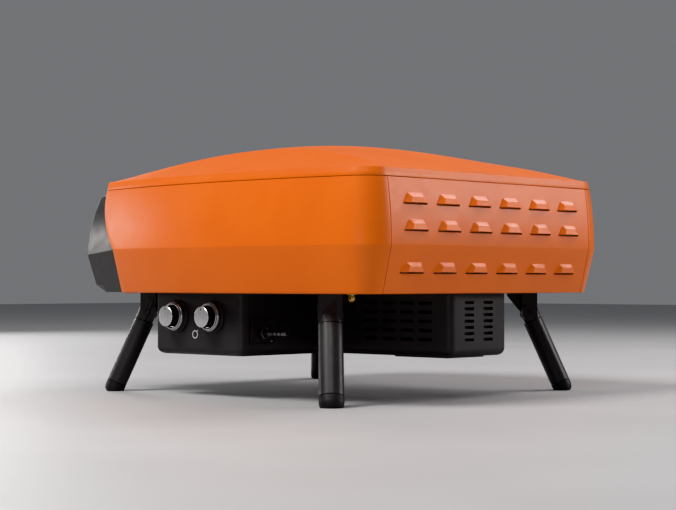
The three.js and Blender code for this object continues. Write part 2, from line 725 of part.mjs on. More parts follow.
function knobBezel() {
  const x = WING.x + CLEAR;
  const front = x + BEZEL.depth;
  return alongX(turned([
    [5, x], [BEZEL.r, x], [BEZEL.r, x + 1.5], [BEZEL.frontR, front - 0.6], [BEZEL.frontR - 0.6, front],
    [BEZEL.boreR, front], [BEZEL.boreR, x + 2], [5, x + 2], [5, x],
  ], 28));
}

const gasRail = () => alongY(rod(6, -116, 20, 20)).translate(206, 0, 94.5);

function inletPlate() {
  const plate = block(175.7, 221.6, WING.rearY + CLEAR, WING.rearY + 1.8, 77.8, 113.8);
  return cut(plate, alongY(rod(6, 20, 60, 20)).translate(INLET.x, 0, INLET.z));
}

function hexNut(y0, y1) {
  const hex = turned([[5.4, y0], [INLET.hexR, y0], [INLET.hexR, y1], [5.4, y1], [5.4, y0]], 6);
  return alongY(hex).translate(INLET.x, 0, INLET.z);
}

function hoseBarb() {
  const y = WING.rearY;
  const ribs = [];
  for (let i = 0; i < 4; i += 1) {
    const at = y + 20 + i * 8;
    ribs.push([4, at], [3.4, at + 6]);
  }
  const outside = [[0, y - 14.5], [4.4, y - 14.5], [4.4, y + 16], ...ribs, [3.2, y + 53]];
  const inside = [[2.4, y + 53], [2.4, y - 8], [0, y - 8]];
  return alongY(turned([...outside, ...inside], 12)).translate(INLET.x, 0, INLET.z);
}

function brassPlug() {
  const plug = turned([[0, 139], [3.5, 139.4], [5.5, 142], [5.5, 148], [8, 148], [8, 153], [0, 153]], 12);
  return plug.translate(181, 195, 0);
}

// ---------------------------------------------------------------- burners
class HorseshoePath extends THREE.Curve {
  getPoint(t, target = new THREE.Vector3()) {
    const r = BURNER.pathR;
    const straight = AXIS.y - BURNER.endY;
    const total = 2 * straight + Math.PI * r;
    const s = t * total;
    if (s < straight) return target.set(r, BURNER.endY + s, BURNER.z);
    if (s > total - straight) return target.set(-r, BURNER.endY + (total - s), BURNER.z);
    const a = (s - straight) / r;
    return target.set(r * Math.cos(a), AXIS.y + r * Math.sin(a), BURNER.z);
  }
}

function roundShape(r, sides) {
  const points = [];
  for (let i = 0; i < sides; i += 1) {
    const a = (2 * Math.PI * i) / sides;
    points.push(new THREE.Vector2(r * Math.cos(a), r * Math.sin(a)));
  }
  return new THREE.Shape(points);
}

function horseshoeBurner() {
  const options = { steps: 32, extrudePath: new HorseshoePath(), bevelEnabled: false };
  const tube = new THREE.ExtrudeGeometry(roundShape(BURNER.r, 8), options);
  const footZ = FLOOR.panZ + FLOOR.sheet + CLEAR;
  const foot = (x, y) => block(x - 5, x + 5, y - 5, y + 5, footZ, BURNER.z - 4);
  const r = BURNER.pathR;
  const feet = [foot(-r, BURNER.endY + 30), foot(r, AXIS.y), foot(-r, AXIS.y), foot(0, AXIS.y + r)];
  return join(tube, feedTube(feedSpots[0], BURNER.z), ...feet);
}

function boosterBurner() {
  const tube = alongX(rod(5.5, 118, 222, 16)).translate(0, KNOB.boosterY, 181);
  const foot = block(130, 138, KNOB.boosterY - 4, KNOB.boosterY + 4, FLOOR.panZ + FLOOR.sheet + CLEAR, 179);
  return join(tube, foot, feedTube(feedSpots[1], 181));
}

const feedTube = ([x, y], z1) => rod(5.5, 134, z1, 16).translate(x, y, 0);

function igniterRod() {
  const z = FLOOR.panZ + FLOOR.sheet + CLEAR;
  const ceramic = [[0, z], [5, z], [5, z + 4], [3, z + 4], [3, z + 24]];
  const electrode = turned([...ceramic, [1, z + 26], [1, z + 40], [0, z + 40]], 10);
  return electrode.translate(228, BURNER.endY - 14, 0);
}

// ---------------------------------------------------------------- folding legs
// Leg frame: x outwards, y along the hinge axis, z up, origin on the hinge axis.
const legDir = new THREE.Vector2(Math.sin(rad(LEG.tilt)), -Math.cos(rad(LEG.tilt)));
const legTopZ = HOUSING.z1 - LEG.z;
const LEG_START = 14; // from the hinge axis to the square end of the tube
const FOOT_HIGH = 15.5;

// Extrusion across the hinge of an outline in the [outwards, up] plane.
function acrossHinge(outline, w0, w1) {
  return prism(outline, w0, w1).rotateX(Math.PI / 2).translate(0, w0 + w1, 0);
}

function alongLeg(distance, side) {
  return [legDir.x * distance - legDir.y * side, legDir.y * distance + legDir.x * side];
}

function hingeArc(r, from, to, steps = 8) {
  const points = [];
  for (let i = 0; i <= steps; i += 1) {
    const a = rad(THREE.MathUtils.lerp(from, to, i / steps));
    points.push([r * Math.cos(a), r * Math.sin(a)]);
  }
  return points;
}

const pinCircle = (r) => hingeArc(r, 0, 345, 23);

function legBracket() {
  const end = LEG_START - CLEAR;
  const knuckle = alongLeg(end, LEG.deep);
  const turnAngle = LEG.tilt - 90;
  const outline = [
    [-12.5, legTopZ], ...hingeArc(end, -156, turnAngle), knuckle, [LEG.face, 8.4], [LEG.face, legTopZ],
  ];
  const cheeks = cut(acrossHinge(outline, -LEG.cheek, LEG.cheek), acrossHinge(forkRoom(), -7, 7));
  const webOutline = [[-34, legTopZ], [-34, legTopZ - 5], [-18.5, 5.5], [-13, 0], [-12, legTopZ]];
  const web = acrossHinge(webOutline, -2.8, 2.8);
  const flange = block(-34, LEG.face, -LEG.cheek, LEG.cheek, legTopZ - 2.5, legTopZ);
  const pin = acrossHinge(pinCircle(4.08), -20, 20);
  return cut(join(cheeks, web, flange), pin);
}

// Space inside the bracket in which the fork of the leg turns.
function forkRoom() {
  return [[-40, 13.4], [-40, -60], [30, -60], alongLeg(50, 13.4), ...hingeArc(13.4, LEG.tilt, 90, 6)];
}

// Stretches a round section across the hinge into the leg's oval one.
const oval = (geometry) => geometry.scale(1, LEG.wide / LEG.deep, 1);

function legTube() {
  const long = (LEG.z / Math.cos(rad(LEG.tilt))) - FOOT_HIGH - 0.5;
  const tube = rod(LEG.deep, -long, -LEG_START, 18);
  const bore = rod(LEG.deep - 2.4, -long - 5, -48, 12);
  const hollow = oval(cut(tube, bore));
  hollow.rotateY(-rad(LEG.tilt));
  const neck = [...hingeArc(12.4, LEG.tilt, LEG.tilt + 180, 8), alongLeg(18, -12.4), alongLeg(18, 12.4)];
  const fork = join(acrossHinge(neck, 3.4, 6.6), acrossHinge(neck, -6.6, -3.4));
  const slot = [alongLeg(10, 12.4), alongLeg(10, -20), alongLeg(38, -20), alongLeg(38, -2), alongLeg(24, 6)];
  const notched = cut(join(hollow, fork), acrossHinge(slot, -3.4, 3.4));
  return cut(notched, acrossHinge(pinCircle(4.08), -20, 20));
}

function legFoot() {
  const end = LEG.z / Math.cos(rad(LEG.tilt));
  const boot = oval(turned([
    [0, -end - 9], [LEG.deep - 5, -end - 9], [LEG.deep - 2.6, -end + 1.5], [LEG.deep, -end + 8],
    [LEG.deep, -end + FOOT_HIGH], [0, -end + FOOT_HIGH],
  ], 18));
  boot.rotateY(-rad(LEG.tilt));
  return cut(boot, block(-200, 200, -60, 60, -LEG.z - 60, -LEG.z));
}

const legPin = () => acrossHinge(pinCircle(4), -LEG.cheek - 1.2, LEG.cheek + 1.2);

const legs = [
  { name: 'rear_right', x: LEG_REAR.x, y: LEG_REAR.y, turn: LEG.azimuth },
  { name: 'front_right', x: LEG_FRONT.x, y: LEG_FRONT.y, turn: -LEG.azimuth },
  { name: 'rear_left', x: -LEG_REAR.x, y: LEG_REAR.y, turn: 180 - LEG.azimuth },
  { name: 'front_left', x: -LEG_FRONT.x, y: LEG_FRONT.y, turn: 180 + LEG.azimuth },
];

// ---------------------------------------------------------------- assembly
const group = new THREE.Group();

function add(name, geometry, [color, roughness, metalness], parent = group) {
  const mesh = new THREE.Mesh(geometry, new THREE.MeshStandardMaterial({ color, roughness, metalness }));
  mesh.name = name;
  parent.add(mesh);
}

add('side_panel_right', sidePanel(1), finish.orange);
add('side_panel_left', sidePanel(-1), finish.orange);
add('rear_louvre_panel', rearPanel(), finish.orange);
add('top_cover', topCover(), finish.orange);
add('insulation_blanket', insulationBlanket(), finish.fibre);
add('inner_dome', innerDome(), finish.steel);
add('mouth_hood', mouthHood(), finish.black);
add('landing_plate', landingPlate(), finish.steel);
add('base_plate', basePlate(), finish.steel);
add('floor_board', floorBoard(), finish.fibre);
add('floor_pan', floorPan(), finish.steel);

add('stone_disc', stoneDisc(), finish.stone);
add('stone_carrier', stoneCarrier(), finish.steel);
add('turntable_shaft', turntableShaft(), finish.steel);
add('drive_gear', driveGear(), finish.plastic);
add('thrust_ring', thrustRing(), finish.brass);
add('shaft_bearing', shaftBearing(), finish.brass);
add('motor_pinion', motorPinion(), finish.plastic);
add('gear_motor', gearMotor(), finish.steel);
add('motor_bracket', motorBracket(), finish.steel);

add('underbody_housing', housing(), finish.black);
add('battery_hatch', batteryHatch(), finish.black);
add('battery_tray', batteryTray(), finish.plastic);
add('battery_pack', batteryPack(), finish.plastic);
add('switch_frame', switchFrame(), finish.plastic);
add('switch_button', switchButton(), finish.plastic);

for (const [name, y] of [['main', KNOB.mainY], ['booster', KNOB.boosterY]]) {
  add(`gas_valve_${name}`, atKnob(gasValve(), y), finish.brass);
  add(`valve_stem_${name}`, atKnob(valveStem(), y), finish.brass);
  add(`knob_bezel_${name}`, atKnob(knobBezel(), y), finish.chrome);
  add(`knob_grip_${name}`, atKnob(knobGrip(), y), finish.plastic);
  add(`knob_cap_${name}`, atKnob(knobCap(), y), finish.steel);
}
add('gas_rail', gasRail(), finish.brass);
add('inlet_plate', inletPlate(), finish.black);
add('inlet_nut', hexNut(WING.rearY + 2.1, WING.rearY + 10), finish.brass);
add('hose_barb', hoseBarb(), finish.steel);
add('brass_plug', brassPlug(), finish.brass);
add('horseshoe_burner', horseshoeBurner(), finish.steel);
add('booster_burner', boosterBurner(), finish.steel);
add('igniter_rod', igniterRod(), finish.ceramic);

for (const leg of legs) {
  const place = new THREE.Group();
  place.position.set(leg.x, leg.y, LEG.z);
  place.rotation.z = rad(leg.turn);
  add(`leg_bracket_${leg.name}`, legBracket(), finish.black, place);
  add(`leg_tube_${leg.name}`, legTube(), finish.black, place);
  add(`leg_foot_${leg.name}`, legFoot(), finish.rubber, place);
  add(`leg_pin_${leg.name}`, legPin(), finish.steel, place);
  group.add(place);
}

export default group;
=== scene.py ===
"""Looks of the portable gas oven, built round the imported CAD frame. Lengths are in millimetres
until a mesh is made. The mouth faces -Y, the louvred back faces +Y, the knobs are on +X."""

import json
import math
from collections import Counter

import bmesh
import bpy
from mathutils import Matrix, Vector
from mathutils.geometry import delaunay_2d_cdt


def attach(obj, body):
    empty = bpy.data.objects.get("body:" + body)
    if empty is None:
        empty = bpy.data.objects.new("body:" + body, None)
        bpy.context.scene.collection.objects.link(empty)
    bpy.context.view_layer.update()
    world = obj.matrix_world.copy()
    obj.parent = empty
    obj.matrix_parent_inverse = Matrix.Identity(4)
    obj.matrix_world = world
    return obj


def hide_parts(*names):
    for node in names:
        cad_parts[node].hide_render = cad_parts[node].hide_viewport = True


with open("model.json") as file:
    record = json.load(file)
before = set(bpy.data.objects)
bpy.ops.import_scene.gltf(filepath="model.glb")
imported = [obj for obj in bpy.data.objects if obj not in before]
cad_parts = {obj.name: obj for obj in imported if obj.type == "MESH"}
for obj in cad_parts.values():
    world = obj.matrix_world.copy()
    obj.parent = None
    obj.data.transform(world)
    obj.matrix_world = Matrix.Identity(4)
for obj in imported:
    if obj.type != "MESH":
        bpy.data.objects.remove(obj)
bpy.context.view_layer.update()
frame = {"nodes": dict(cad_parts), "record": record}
MM = 0.001

# ---- dimensions, as in the CAD but for LEG_FACE
REAR_Y, REAR_HALF = 299.0, 224.0
CORNER_R, SIDE_R = 39.0, 1268.0
BOTTOM_Z, RIDGE_Z, SEAM_Z, BAND_Z = 151.0, 216.0, 307.0, 319.0
CROWN_Z, CREASE_Z = 371.6, 356.3
RIDGE_OUT, BOTTOM_IN, BAND_IN = 7.0, 9.0, 3.0
CREASE_BOW = 220.0  # how far the creases bend in towards each other
FRONT_BOTTOM_Y, FRONT_RIDGE_Y, FRONT_SEAM_Y = -220.0, -223.0, -252.0
FRONT_LEAN, FRONT_BOW = 81.0, 51.0  # of the side panels' front edges above the ridge
SHEET = 1.2
SEAM_GAP = 0.55  # half the width of the open seams between panels
AXIS_Y = 29.0
STONE_R, STONE_Z0, STONE_Z1 = 205.0, 190.0, 204.0
MOUTH_HALF, MOUTH_Z0, MOUTH_Z1, MOUTH_CROWN = 220.0, 197.5, 286.0, 8.0
HOOD_LOW_Z, HOOD_BEND_Z, HOOD_TOP_Z = 153.0, 162.0, 300.0
HOOD_FOOT_HALF, HOOD_BEND_HALF, HOOD_RIDGE_HALF, HOOD_TOP_HALF = 238.0, 242.0, 256.0, 243.0
HOOD_NARROW, HOOD_REAR_Y = 16.5, -226.0
TIP_LOW_Y, TIP_BEND_Y, TIP_RIDGE_Y, TIP_LEAN, TIP_BOW = -307.0, -308.0, -312.3, 9.8, 9.6
MID_X = 120.0  # halfway along the flat top and bottom of hood and mouth
FLANGE_GAP = 1.2  # between the front flanges of the side panels and the hood
HOUSING_Z0, HOUSING_Z1, HOUSING_LEFT, HOUSING_RIGHT = 61.0, 150.6, -68.0, 58.0
HOUSING_FRONT_Y, HOUSING_REAR_Y = -41.0, 269.0
WING_X, WING_FRONT_Y, WING_REAR_Y = 238.0, -148.5, 35.0
KNOB_YS, KNOB_Z = {"main": -102.5, "booster": -24.6}, 117.0
INLET_X, INLET_Z = 199.8, 94.0
# half depth and half width of a leg, then the reach of its bracket's cheeks and outer face
LEG_DEEP, LEG_WIDE, LEG_CHEEK, LEG_FACE = 14.8, 17.2, 16.6, 10.6
LEG_TILT, LEG_Z, LEG_START, FOOT_HIGH = 24.0, 121.0, 14.0, 15.5
LEG_TOP = HOUSING_Z1 - LEG_Z
LEG_CLEAR = 22.0  # from the front right leg's axis to the housing's slanted wall
LEGS = {  # x and y of each hinge, and the way it faces in degrees
    "rear_right": (223.4, 194.4, 45.5),
    "front_right": (192.6, -221.8, -45.5),
    "rear_left": (-223.4, 194.4, 134.5),
    "front_left": (-192.6, -221.8, 225.5),
}


# ---- materials
class Graph:
    """A small builder for one node material."""

    def __init__(self, name):
        self.material = bpy.data.materials.new(name)
        self.material.use_nodes = True
        self.tree = self.material.node_tree
        self.tree.nodes.clear()
        self.shader = self.node("ShaderNodeBsdfPrincipled")
        self.node("ShaderNodeOutputMaterial", Surface=self.shader.outputs["BSDF"])
        self.place = self.node("ShaderNodeTexCoord").outputs["Object"]

    def fill(self, node, **inputs):
        """Sets a node's inputs to values, or links them to sockets."""
        for key, value in inputs.items():
            socket = node.inputs[key.replace("_", " ")]
            if isinstance(value, bpy.types.NodeSocket):
                self.tree.links.new(value, socket)
            elif value is not None:
                socket.default_value = value
        return node

    def node(self, kind, **inputs):
        return self.fill(self.tree.nodes.new(kind), **inputs)

    def stretched(self, *scale):
        return self.node("ShaderNodeMapping", Vector=self.place, Scale=scale).outputs["Vector"]

    def noise(self, scale, detail=2.0, rough=0.5, vector=None):
        node = self.node("ShaderNodeTexNoise", Scale=scale, Detail=detail, Roughness=rough)
        return self.fill(node, Vector=vector or self.place).outputs["Fac"]

    def ramp(self, value, *stops):
        node = self.node("ShaderNodeValToRGB", Fac=value)
        elements = node.color_ramp.elements
        while len(elements) < len(stops):
            elements.new(0.5)
        for element, (position, color) in zip(elements, stops):
            element.position = position
            element.color = (*color, 1.0)
        return node.outputs["Color"]

    def spread(self, value, low, high, start=0.0, end=1.0):
        """Maps start..end to low..high."""
        ends = {"From_Min": start, "From_Max": end, "To_Min": low, "To_Max": high}
        return self.node("ShaderNodeMapRange", Value=value, **ends).outputs["Result"]

    def mix(self, factor, socket, color):
        """Goes from a socket's colour to a plain colour."""
        node = self.tree.nodes.new("ShaderNodeMix")
        node.data_type = "RGBA"
        self.fill(node, Factor=factor)
        first, second = [s for s in node.inputs if s.type == "RGBA"]
        self.tree.links.new(socket, first)
        second.default_value = (*color, 1.0)
        return [s for s in node.outputs if s.type == "RGBA"][0]

    def bump(self, height, strength, distance, below=None):
        node = self.node("ShaderNodeBump", Height=height, Strength=strength, Distance=distance)
        return self.fill(node, Normal=below).outputs["Normal"]

    def finish(self, color, rough, normal=None, **fixed):
        self.fill(self.shader, Base_Color=color, Roughness=rough, Normal=normal, **fixed)
        return self.material


def coated(name, light, dark, rough, grain=1500.0, depth=0.00006, coat=0.0):
    """Powder-coated metal: a fine orange-peel skin and slow changes of tone."""
    g = Graph(name)
    tone = g.ramp(g.noise(9.0, 3.0, 0.55), (0.35, dark), (0.65, light))
    gloss = g.spread(g.noise(60.0, 4.0, 0.6), rough - 0.045, rough + 0.045, 0.3, 0.7)
    coarse = g.bump(g.noise(grain * 0.3, 1.0, 0.4), 0.16, depth * 2.0)
    skin = g.bump(g.noise(grain, 2.0, 0.5), 0.35, depth, coarse)
    coats = {"Coat_Weight": coat, "Coat_Roughness": 0.25, "Specular_IOR_Level": 0.5}
    return g.finish(tone, gloss, skin, **coats)


def brushed(name, color, rough, stretch, tint=None):
    """Metal with fine parallel brush marks; stretch is the texture scale along X, Y and Z."""
    g = Graph(name)
    marks = g.noise(1.0, 5.0, 0.65, g.stretched(*stretch))
    wide = g.noise(14.0, 3.0, 0.5)
    dark = tuple(c * 0.86 for c in color)
    tone = g.ramp(marks, (0.3, dark), (0.7, color))
    if tint:
        tone = g.mix(g.spread(wide, 0.0, 0.55, 0.45, 0.75), tone, tint)
    gloss = g.spread(marks, rough - 0.07, rough + 0.09, 0.3, 0.7)
    return g.finish(tone, gloss, g.bump(marks, 0.12, 0.00004), Metallic=1.0)


def polished(name, color, rough):
    """Smooth metal with faint smears."""
    g = Graph(name)
    smear = g.noise(45.0, 4.0, 0.6)
    tone = g.ramp(smear, (0.3, tuple(c * 0.93 for c in color)), (0.7, color))
    gloss = g.spread(smear, rough - 0.03, rough + 0.04, 0.3, 0.7)
    return g.finish(tone, gloss, g.bump(g.noise(700.0, 2.0), 0.05, 0.00002), Metallic=1.0)


def moulded(name, light, dark, rough, grain=900.0):
    """Moulded plastic or rubber with a fine texture."""
    g = Graph(name)
    tone = g.ramp(g.noise(30.0, 3.0), (0.35, dark), (0.65, light))
    gloss = g.spread(g.noise(120.0, 3.0), rough - 0.06, rough + 0.06, 0.3, 0.7)
    return g.finish(tone, gloss, g.bump(g.noise(grain, 3.0, 0.6), 0.4, 0.00005))


def stoneware(name):
    """Cordierite: pale tan with grains, pores and toasted patches."""
    g = Graph(name)
    grains = g.noise(420.0, 4.0, 0.7)
    dark, tan, pale = (0.43, 0.33, 0.21), (0.62, 0.51, 0.36), (0.72, 0.63, 0.48)
    base = g.ramp(grains, (0.25, dark), (0.5, tan), (0.8, pale))
    toast = g.spread(g.noise(11.0, 5.0, 0.62), 0.0, 0.6, 0.52, 0.72)
    tone = g.mix(toast, base, (0.27, 0.17, 0.09))
    pores = g.node("ShaderNodeTexVoronoi", Scale=260.0, Vector=g.place)
    pits = g.spread(pores.outputs["Distance"], 0.0, 1.0, 0.05, 0.35)
    skin = g.bump(pits, 0.5, 0.0003, g.bump(grains, 0.5, 0.0002))
    return g.finish(tone, g.spread(grains, 0.82, 0.95, 0.3, 0.7), skin)


def fibre(name):
    """Pale matted fibres of the insulation."""
    g = Graph(name)
    fluff = g.noise(90.0, 8.0, 0.75, g.stretched(1.0, 2.4, 1.0))
    tone = g.ramp(fluff, (0.3, (0.62, 0.59, 0.52)), (0.7, (0.86, 0.84, 0.78)))
    return g.finish(tone, g.spread(fluff, 0.9, 1.0), g.bump(fluff, 0.8, 0.001), Sheen_Weight=0.3)


def floor_grey(name):
    g = Graph(name)
    cloudy = g.noise(3.0, 2.0)
    tone = g.ramp(cloudy, (0.3, (0.42, 0.42, 0.43)), (0.7, (0.45, 0.45, 0.46)))
    return g.finish(tone, g.spread(cloudy, 0.5, 0.58))


FINISHES = {  # how each material is made, with its colours, roughness and details
    "orange_paint": (coated, (0.79, 0.158, 0.012), (0.74, 0.14, 0.009), 0.4, 1500.0, 6e-5, 0.12),
    "black_paint": (coated, (0.036, 0.036, 0.037), (0.03, 0.03, 0.031), 0.4),
    "hood_paint": (coated, (0.03, 0.029, 0.029), (0.026, 0.025, 0.025), 0.33, 900.0, 0.000025),
    "steel": (brushed, (0.6, 0.585, 0.56), 0.34, (30.0, 900.0, 900.0), (0.46, 0.36, 0.24)),
    "cap_steel": (brushed, (0.78, 0.775, 0.77), 0.28, (900.0, 1600.0, 24.0)),
    # bezel_chrome is the lip's polished chrome made darker: a painted dark reflection on the
    # bezel's cone
    "bezel_chrome": (polished, (0.36, 0.36, 0.365), 0.2),
    "blackened_steel": (polished, (0.05, 0.05, 0.052), 0.34),
    "chrome_trim": (polished, (0.77, 0.77, 0.78), 0.13),
    "dark_steel": (polished, (0.24, 0.24, 0.25), 0.27),
    "brass_fitting": (polished, (0.7, 0.47, 0.18), 0.24),
    "baking_stone": (stoneware,),
    "fibre_insulation": (fibre,),
    "black_plastic": (moulded, (0.022, 0.022, 0.023), (0.015, 0.015, 0.016), 0.42),
    "battery_wrap": (moulded, (0.035, 0.13, 0.32), (0.028, 0.11, 0.28), 0.25),
    "igniter_ceramic": (moulded, (0.86, 0.84, 0.78), (0.8, 0.78, 0.72), 0.22),
    "foot_rubber": (moulded, (0.019, 0.019, 0.02), (0.013, 0.013, 0.014), 0.52, 500.0),
    "icon_print": (moulded, (0.74, 0.74, 0.74), (0.68, 0.68, 0.68), 0.45),
    # dark_hole is near-black painted shade for holes and gaps, and also the print of the knob dots
    "dark_hole": (moulded, (0.006, 0.006, 0.006), (0.004, 0.004, 0.004), 0.7),
    "floor_grey": (floor_grey,),
}
MATERIALS = {name: make(name, *details) for name, (make, *details) in FINISHES.items()}
NODE_SLOT = {s["node"]: s["material_slot"] for s in frame["record"]["subparts"]}


# ---- mesh helpers
def mesh_of(name, bm):
    """A mesh from a bmesh, which is used up."""
    mesh = bpy.data.meshes.new(name)
    bm.to_mesh(mesh)
    bm.free()
    return mesh


def new_object(name, data):
    obj = bpy.data.objects.new(name, data)
    bpy.context.scene.collection.objects.link(obj)
    return obj


def to_object(name, bm, finish, smooth=30.0, body="chassis"):
    """A piece in the scene; it stands for the CAD node that has its name, if there is one."""
    mesh = mesh_of(name, bm)
    mesh.polygons.foreach_set("use_smooth", [True] * len(mesh.polygons))
    if smooth:
        mesh.set_sharp_from_angle(angle=math.radians(smooth))
    mesh.materials.append(MATERIALS[finish])
    obj = new_object(name, mesh)
    if body:
        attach(obj, body)
        if name in frame["nodes"]:
            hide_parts(name)
    return obj


def evaluated(obj):
    """A bmesh of an object with its modifiers applied."""
    bpy.context.view_layer.update()
    result = bmesh.new()
    result.from_mesh(obj.evaluated_get(bpy.context.evaluated_depsgraph_get()).to_mesh())
    return result


def bm_from(points, faces):
    """A bmesh in metres from points in millimetres; doubled points are merged."""
    bm = bmesh.new()
    verts = [bm.verts.new([value * MM for value in p]) for p in points]
    for face in faces:
        bm.faces.new([verts[i] for i in face])
    bmesh.ops.remove_doubles(bm, verts=bm.verts, dist=2e-6)
    bmesh.ops.dissolve_degenerate(bm, edges=bm.edges, dist=1e-7)
    return bm


def closed(bm):
    bmesh.ops.recalc_face_normals(bm, faces=bm.faces)
    return bm


def outward(bm):
    """Turns the faces of an open sheet so that they look away from the middle of the oven."""
    closed(bm)
    middle = Vector((0, 0, 230)) * MM
    total = sum(f.normal.dot(f.calc_center_median() - middle) * f.calc_area() for f in bm.faces)
    if total < 0:
        bmesh.ops.reverse_faces(bm, faces=bm.faces)
    return bm


def grid_faces(rows, columns, start=0, wrap=False):
    faces = []
    for i in range(rows - 1):
        for j in range(columns if wrap else columns - 1):
            k = (j + 1) % columns
            a = start + i * columns
            faces.append((a + j, a + k, a + columns + k, a + columns + j))
    return faces


def grid_bm(rows, wrap=False, caps=False):
    points = [p for row in rows for p in row]
    count, columns = len(rows), len(rows[0])
    faces = grid_faces(count, columns, 0, wrap)
    if caps:
        faces.append(tuple(range(columns)))
        faces.append(tuple(range((count - 1) * columns, count * columns)))
    return bm_from(points, faces)


def loft(rings):
    """A closed body through rings of points, capped at both ends."""
    return closed(grid_bm(rings, wrap=True, caps=True))


def lerp(a, b, t):
    return a + (b - a) * t


def between(z, z0, z1, a, b):
    """Goes evenly from a where z is z0 to b where z is z1."""
    return lerp(a, b, (z - z0) / (z1 - z0))


def bend(start, corner, end, steps):
    """Points on a quadratic curve from start to end that leans towards the corner."""
    shares = [i / steps for i in range(steps + 1)]
    return [start * (1 - t) ** 2 + corner * 2 * t * (1 - t) + end * t * t for t in shares]


def fillet(points, radii, steps=5):
    """A line [x, y] with rounded corners; one radius for each inner corner, 0 to keep it."""
    out = [Vector(points[0])]
    for before, at, after, r in zip(points, points[1:], points[2:], radii):
        a, p, b = Vector(before), Vector(at), Vector(after)
        if r <= 0:
            out.append(p)
            continue
        u, v = a - p, b - p
        reach = min(r / math.tan(u.angle(v) / 2), u.length * 0.45, v.length * 0.45)
        out += bend(p + u.normalized() * reach, p, p + v.normalized() * reach, steps)
    out.append(Vector(points[-1]))
    return out


def arc(r, start, end, steps, x=0.0, y=0.0):
    """Points [x, y] round a centre; the angles are in degrees."""
    angles = [math.radians(lerp(start, end, i / steps)) for i in range(steps + 1)]
    return [(x + r * math.cos(a), y + r * math.sin(a)) for a in angles]


def circle(r, steps=32):
    return arc(r, 0, 360, steps)[:-1]


def turned(profile, axis="Z", at=(0, 0, 0), segments=72):
    """A turned part from [radius, height] points; closed if it ends on the axis or at its start."""
    order = {"X": (2, 0, 1), "Y": (0, 2, 1), "Z": (0, 1, 2)}[axis]
    rows = [
        [[(r * c, r * s, h)[k] + shift for k, shift in zip(order, at)] for r, h in profile]
        for c, s in circle(1.0, segments)
    ]
    return closed(grid_bm(rows + rows[:1]))


def soft_profile(points, radius=0.5, steps=3):
    """Rounds the corners of a turned profile, leaving points on the axis alone."""
    return fillet(points, [0 if p[0] == 0 else radius for p in points[1:-1]], steps)


def turned_piece(name, profile, finish, body, axis, at, radius=0.4, segments=72):
    bm = turned(soft_profile(profile, radius), axis, at, segments)
    to_object(name, bm, finish, body=body)


def prism_bm(outline, z0, z1):
    return loft([[(x, y, z) for x, y in outline] for z in (z0, z1)])


def block_bm(x0, x1, y0, y1, z0, z1):
    return prism_bm([(x0, y0), (x1, y0), (x1, y1), (x0, y1)], z0, z1)


def along_x(outline, x0, x1, y, z):
    return loft([[(x, y + u, z + v) for u, v in outline] for x in (x0, x1)])


def along_y(outline, y0, y1, x=0.0, z=0.0):
    return loft([[(x + u, y, z + v) for u, v in outline] for y in (y0, y1)])


def moved(bm, matrix):
    bmesh.ops.transform(bm, matrix=matrix, verts=bm.verts)
    return bm


def merge(*parts):
    """One bmesh holding several separate closed bodies."""
    whole = bmesh.new()
    for part in parts:
        mesh = mesh_of("part", part)
        whole.from_mesh(mesh)
        bpy.data.meshes.remove(mesh)
    return whole


def modify(obj, kind, **settings):
    """Adds a modifier to an object."""
    modifier = obj.modifiers.new(kind.lower(), kind)
    for key, value in settings.items():
        setattr(modifier, key, value)
    return obj


def boolean(base, tool, operation):
    """Exact boolean of two bmeshes; both are used up."""
    body, cutter = [new_object("tmp", mesh_of("tmp", bm)) for bm in (base, tool)]
    modify(body, "BOOLEAN", operation=operation, solver="EXACT", object=cutter, use_self=True)
    result = evaluated(body)
    for obj in (body, cutter):
        mesh = obj.data
        bpy.data.objects.remove(obj)
        bpy.data.meshes.remove(mesh)
    bmesh.ops.remove_doubles(result, verts=result.verts, dist=1e-6)
    return result


def join(a, b):
    return boolean(a, b, "UNION")


def cut(a, b):
    return boolean(a, b, "DIFFERENCE")


def bevel(obj, width, segments, angle):
    return modify(
        obj, "BEVEL", width=width * MM, segments=segments, limit_method="ANGLE",
        angle_limit=math.radians(angle), harden_normals=True, use_clamp_overlap=True,
    )


def crisp_rim(obj):
    """Marks the open edges of a sheet sharp, so that its rim doesn't bend the shading."""
    sides = Counter(key for polygon in obj.data.polygons for key in polygon.edge_keys)
    for edge in obj.data.edges:
        if sides[edge.key] == 1:
            edge.use_edge_sharp = True
    return obj


def solidify(obj, thickness=SHEET):
    return modify(
        obj, "SOLIDIFY", thickness=thickness * MM, offset=-1.0, use_even_offset=True,
        use_quality_normals=True,
    )


def sheet_metal(obj):
    return bevel(solidify(obj), 0.4, 2, 55.0)


# ---- outline of the shell
CORNER_C = (REAR_HALF, REAR_Y - CORNER_R)
CORNER_END = 10.33  # degrees, where the corner's arc goes over into the side's
SIDE_C = arc(CORNER_R - SIDE_R, CORNER_END, 0, 1, *CORNER_C)[0]


def shell_out(z):
    """How far the shell stands out at a height, past its nominal outline."""
    if z >= SEAM_Z:
        return between(z, SEAM_Z, BAND_Z, 0.0, -BAND_IN)
    if z >= RIDGE_Z:
        return RIDGE_OUT * (1 - ((z - RIDGE_Z) / (SEAM_Z - RIDGE_Z)) ** 2)
    return between(z, BOTTOM_Z, RIDGE_Z, -BOTTOM_IN, RIDGE_OUT)


def side_front_y(z):
    """Y of a side panel's front edge at a height."""
    if z <= RIDGE_Z:
        return between(max(z, BOTTOM_Z), BOTTOM_Z, RIDGE_Z, FRONT_BOTTOM_Y, FRONT_RIDGE_Y)
    s = (z - RIDGE_Z) / (SEAM_Z - RIDGE_Z)
    return FRONT_RIDGE_Y - FRONT_LEAN * s + FRONT_BOW * s * s


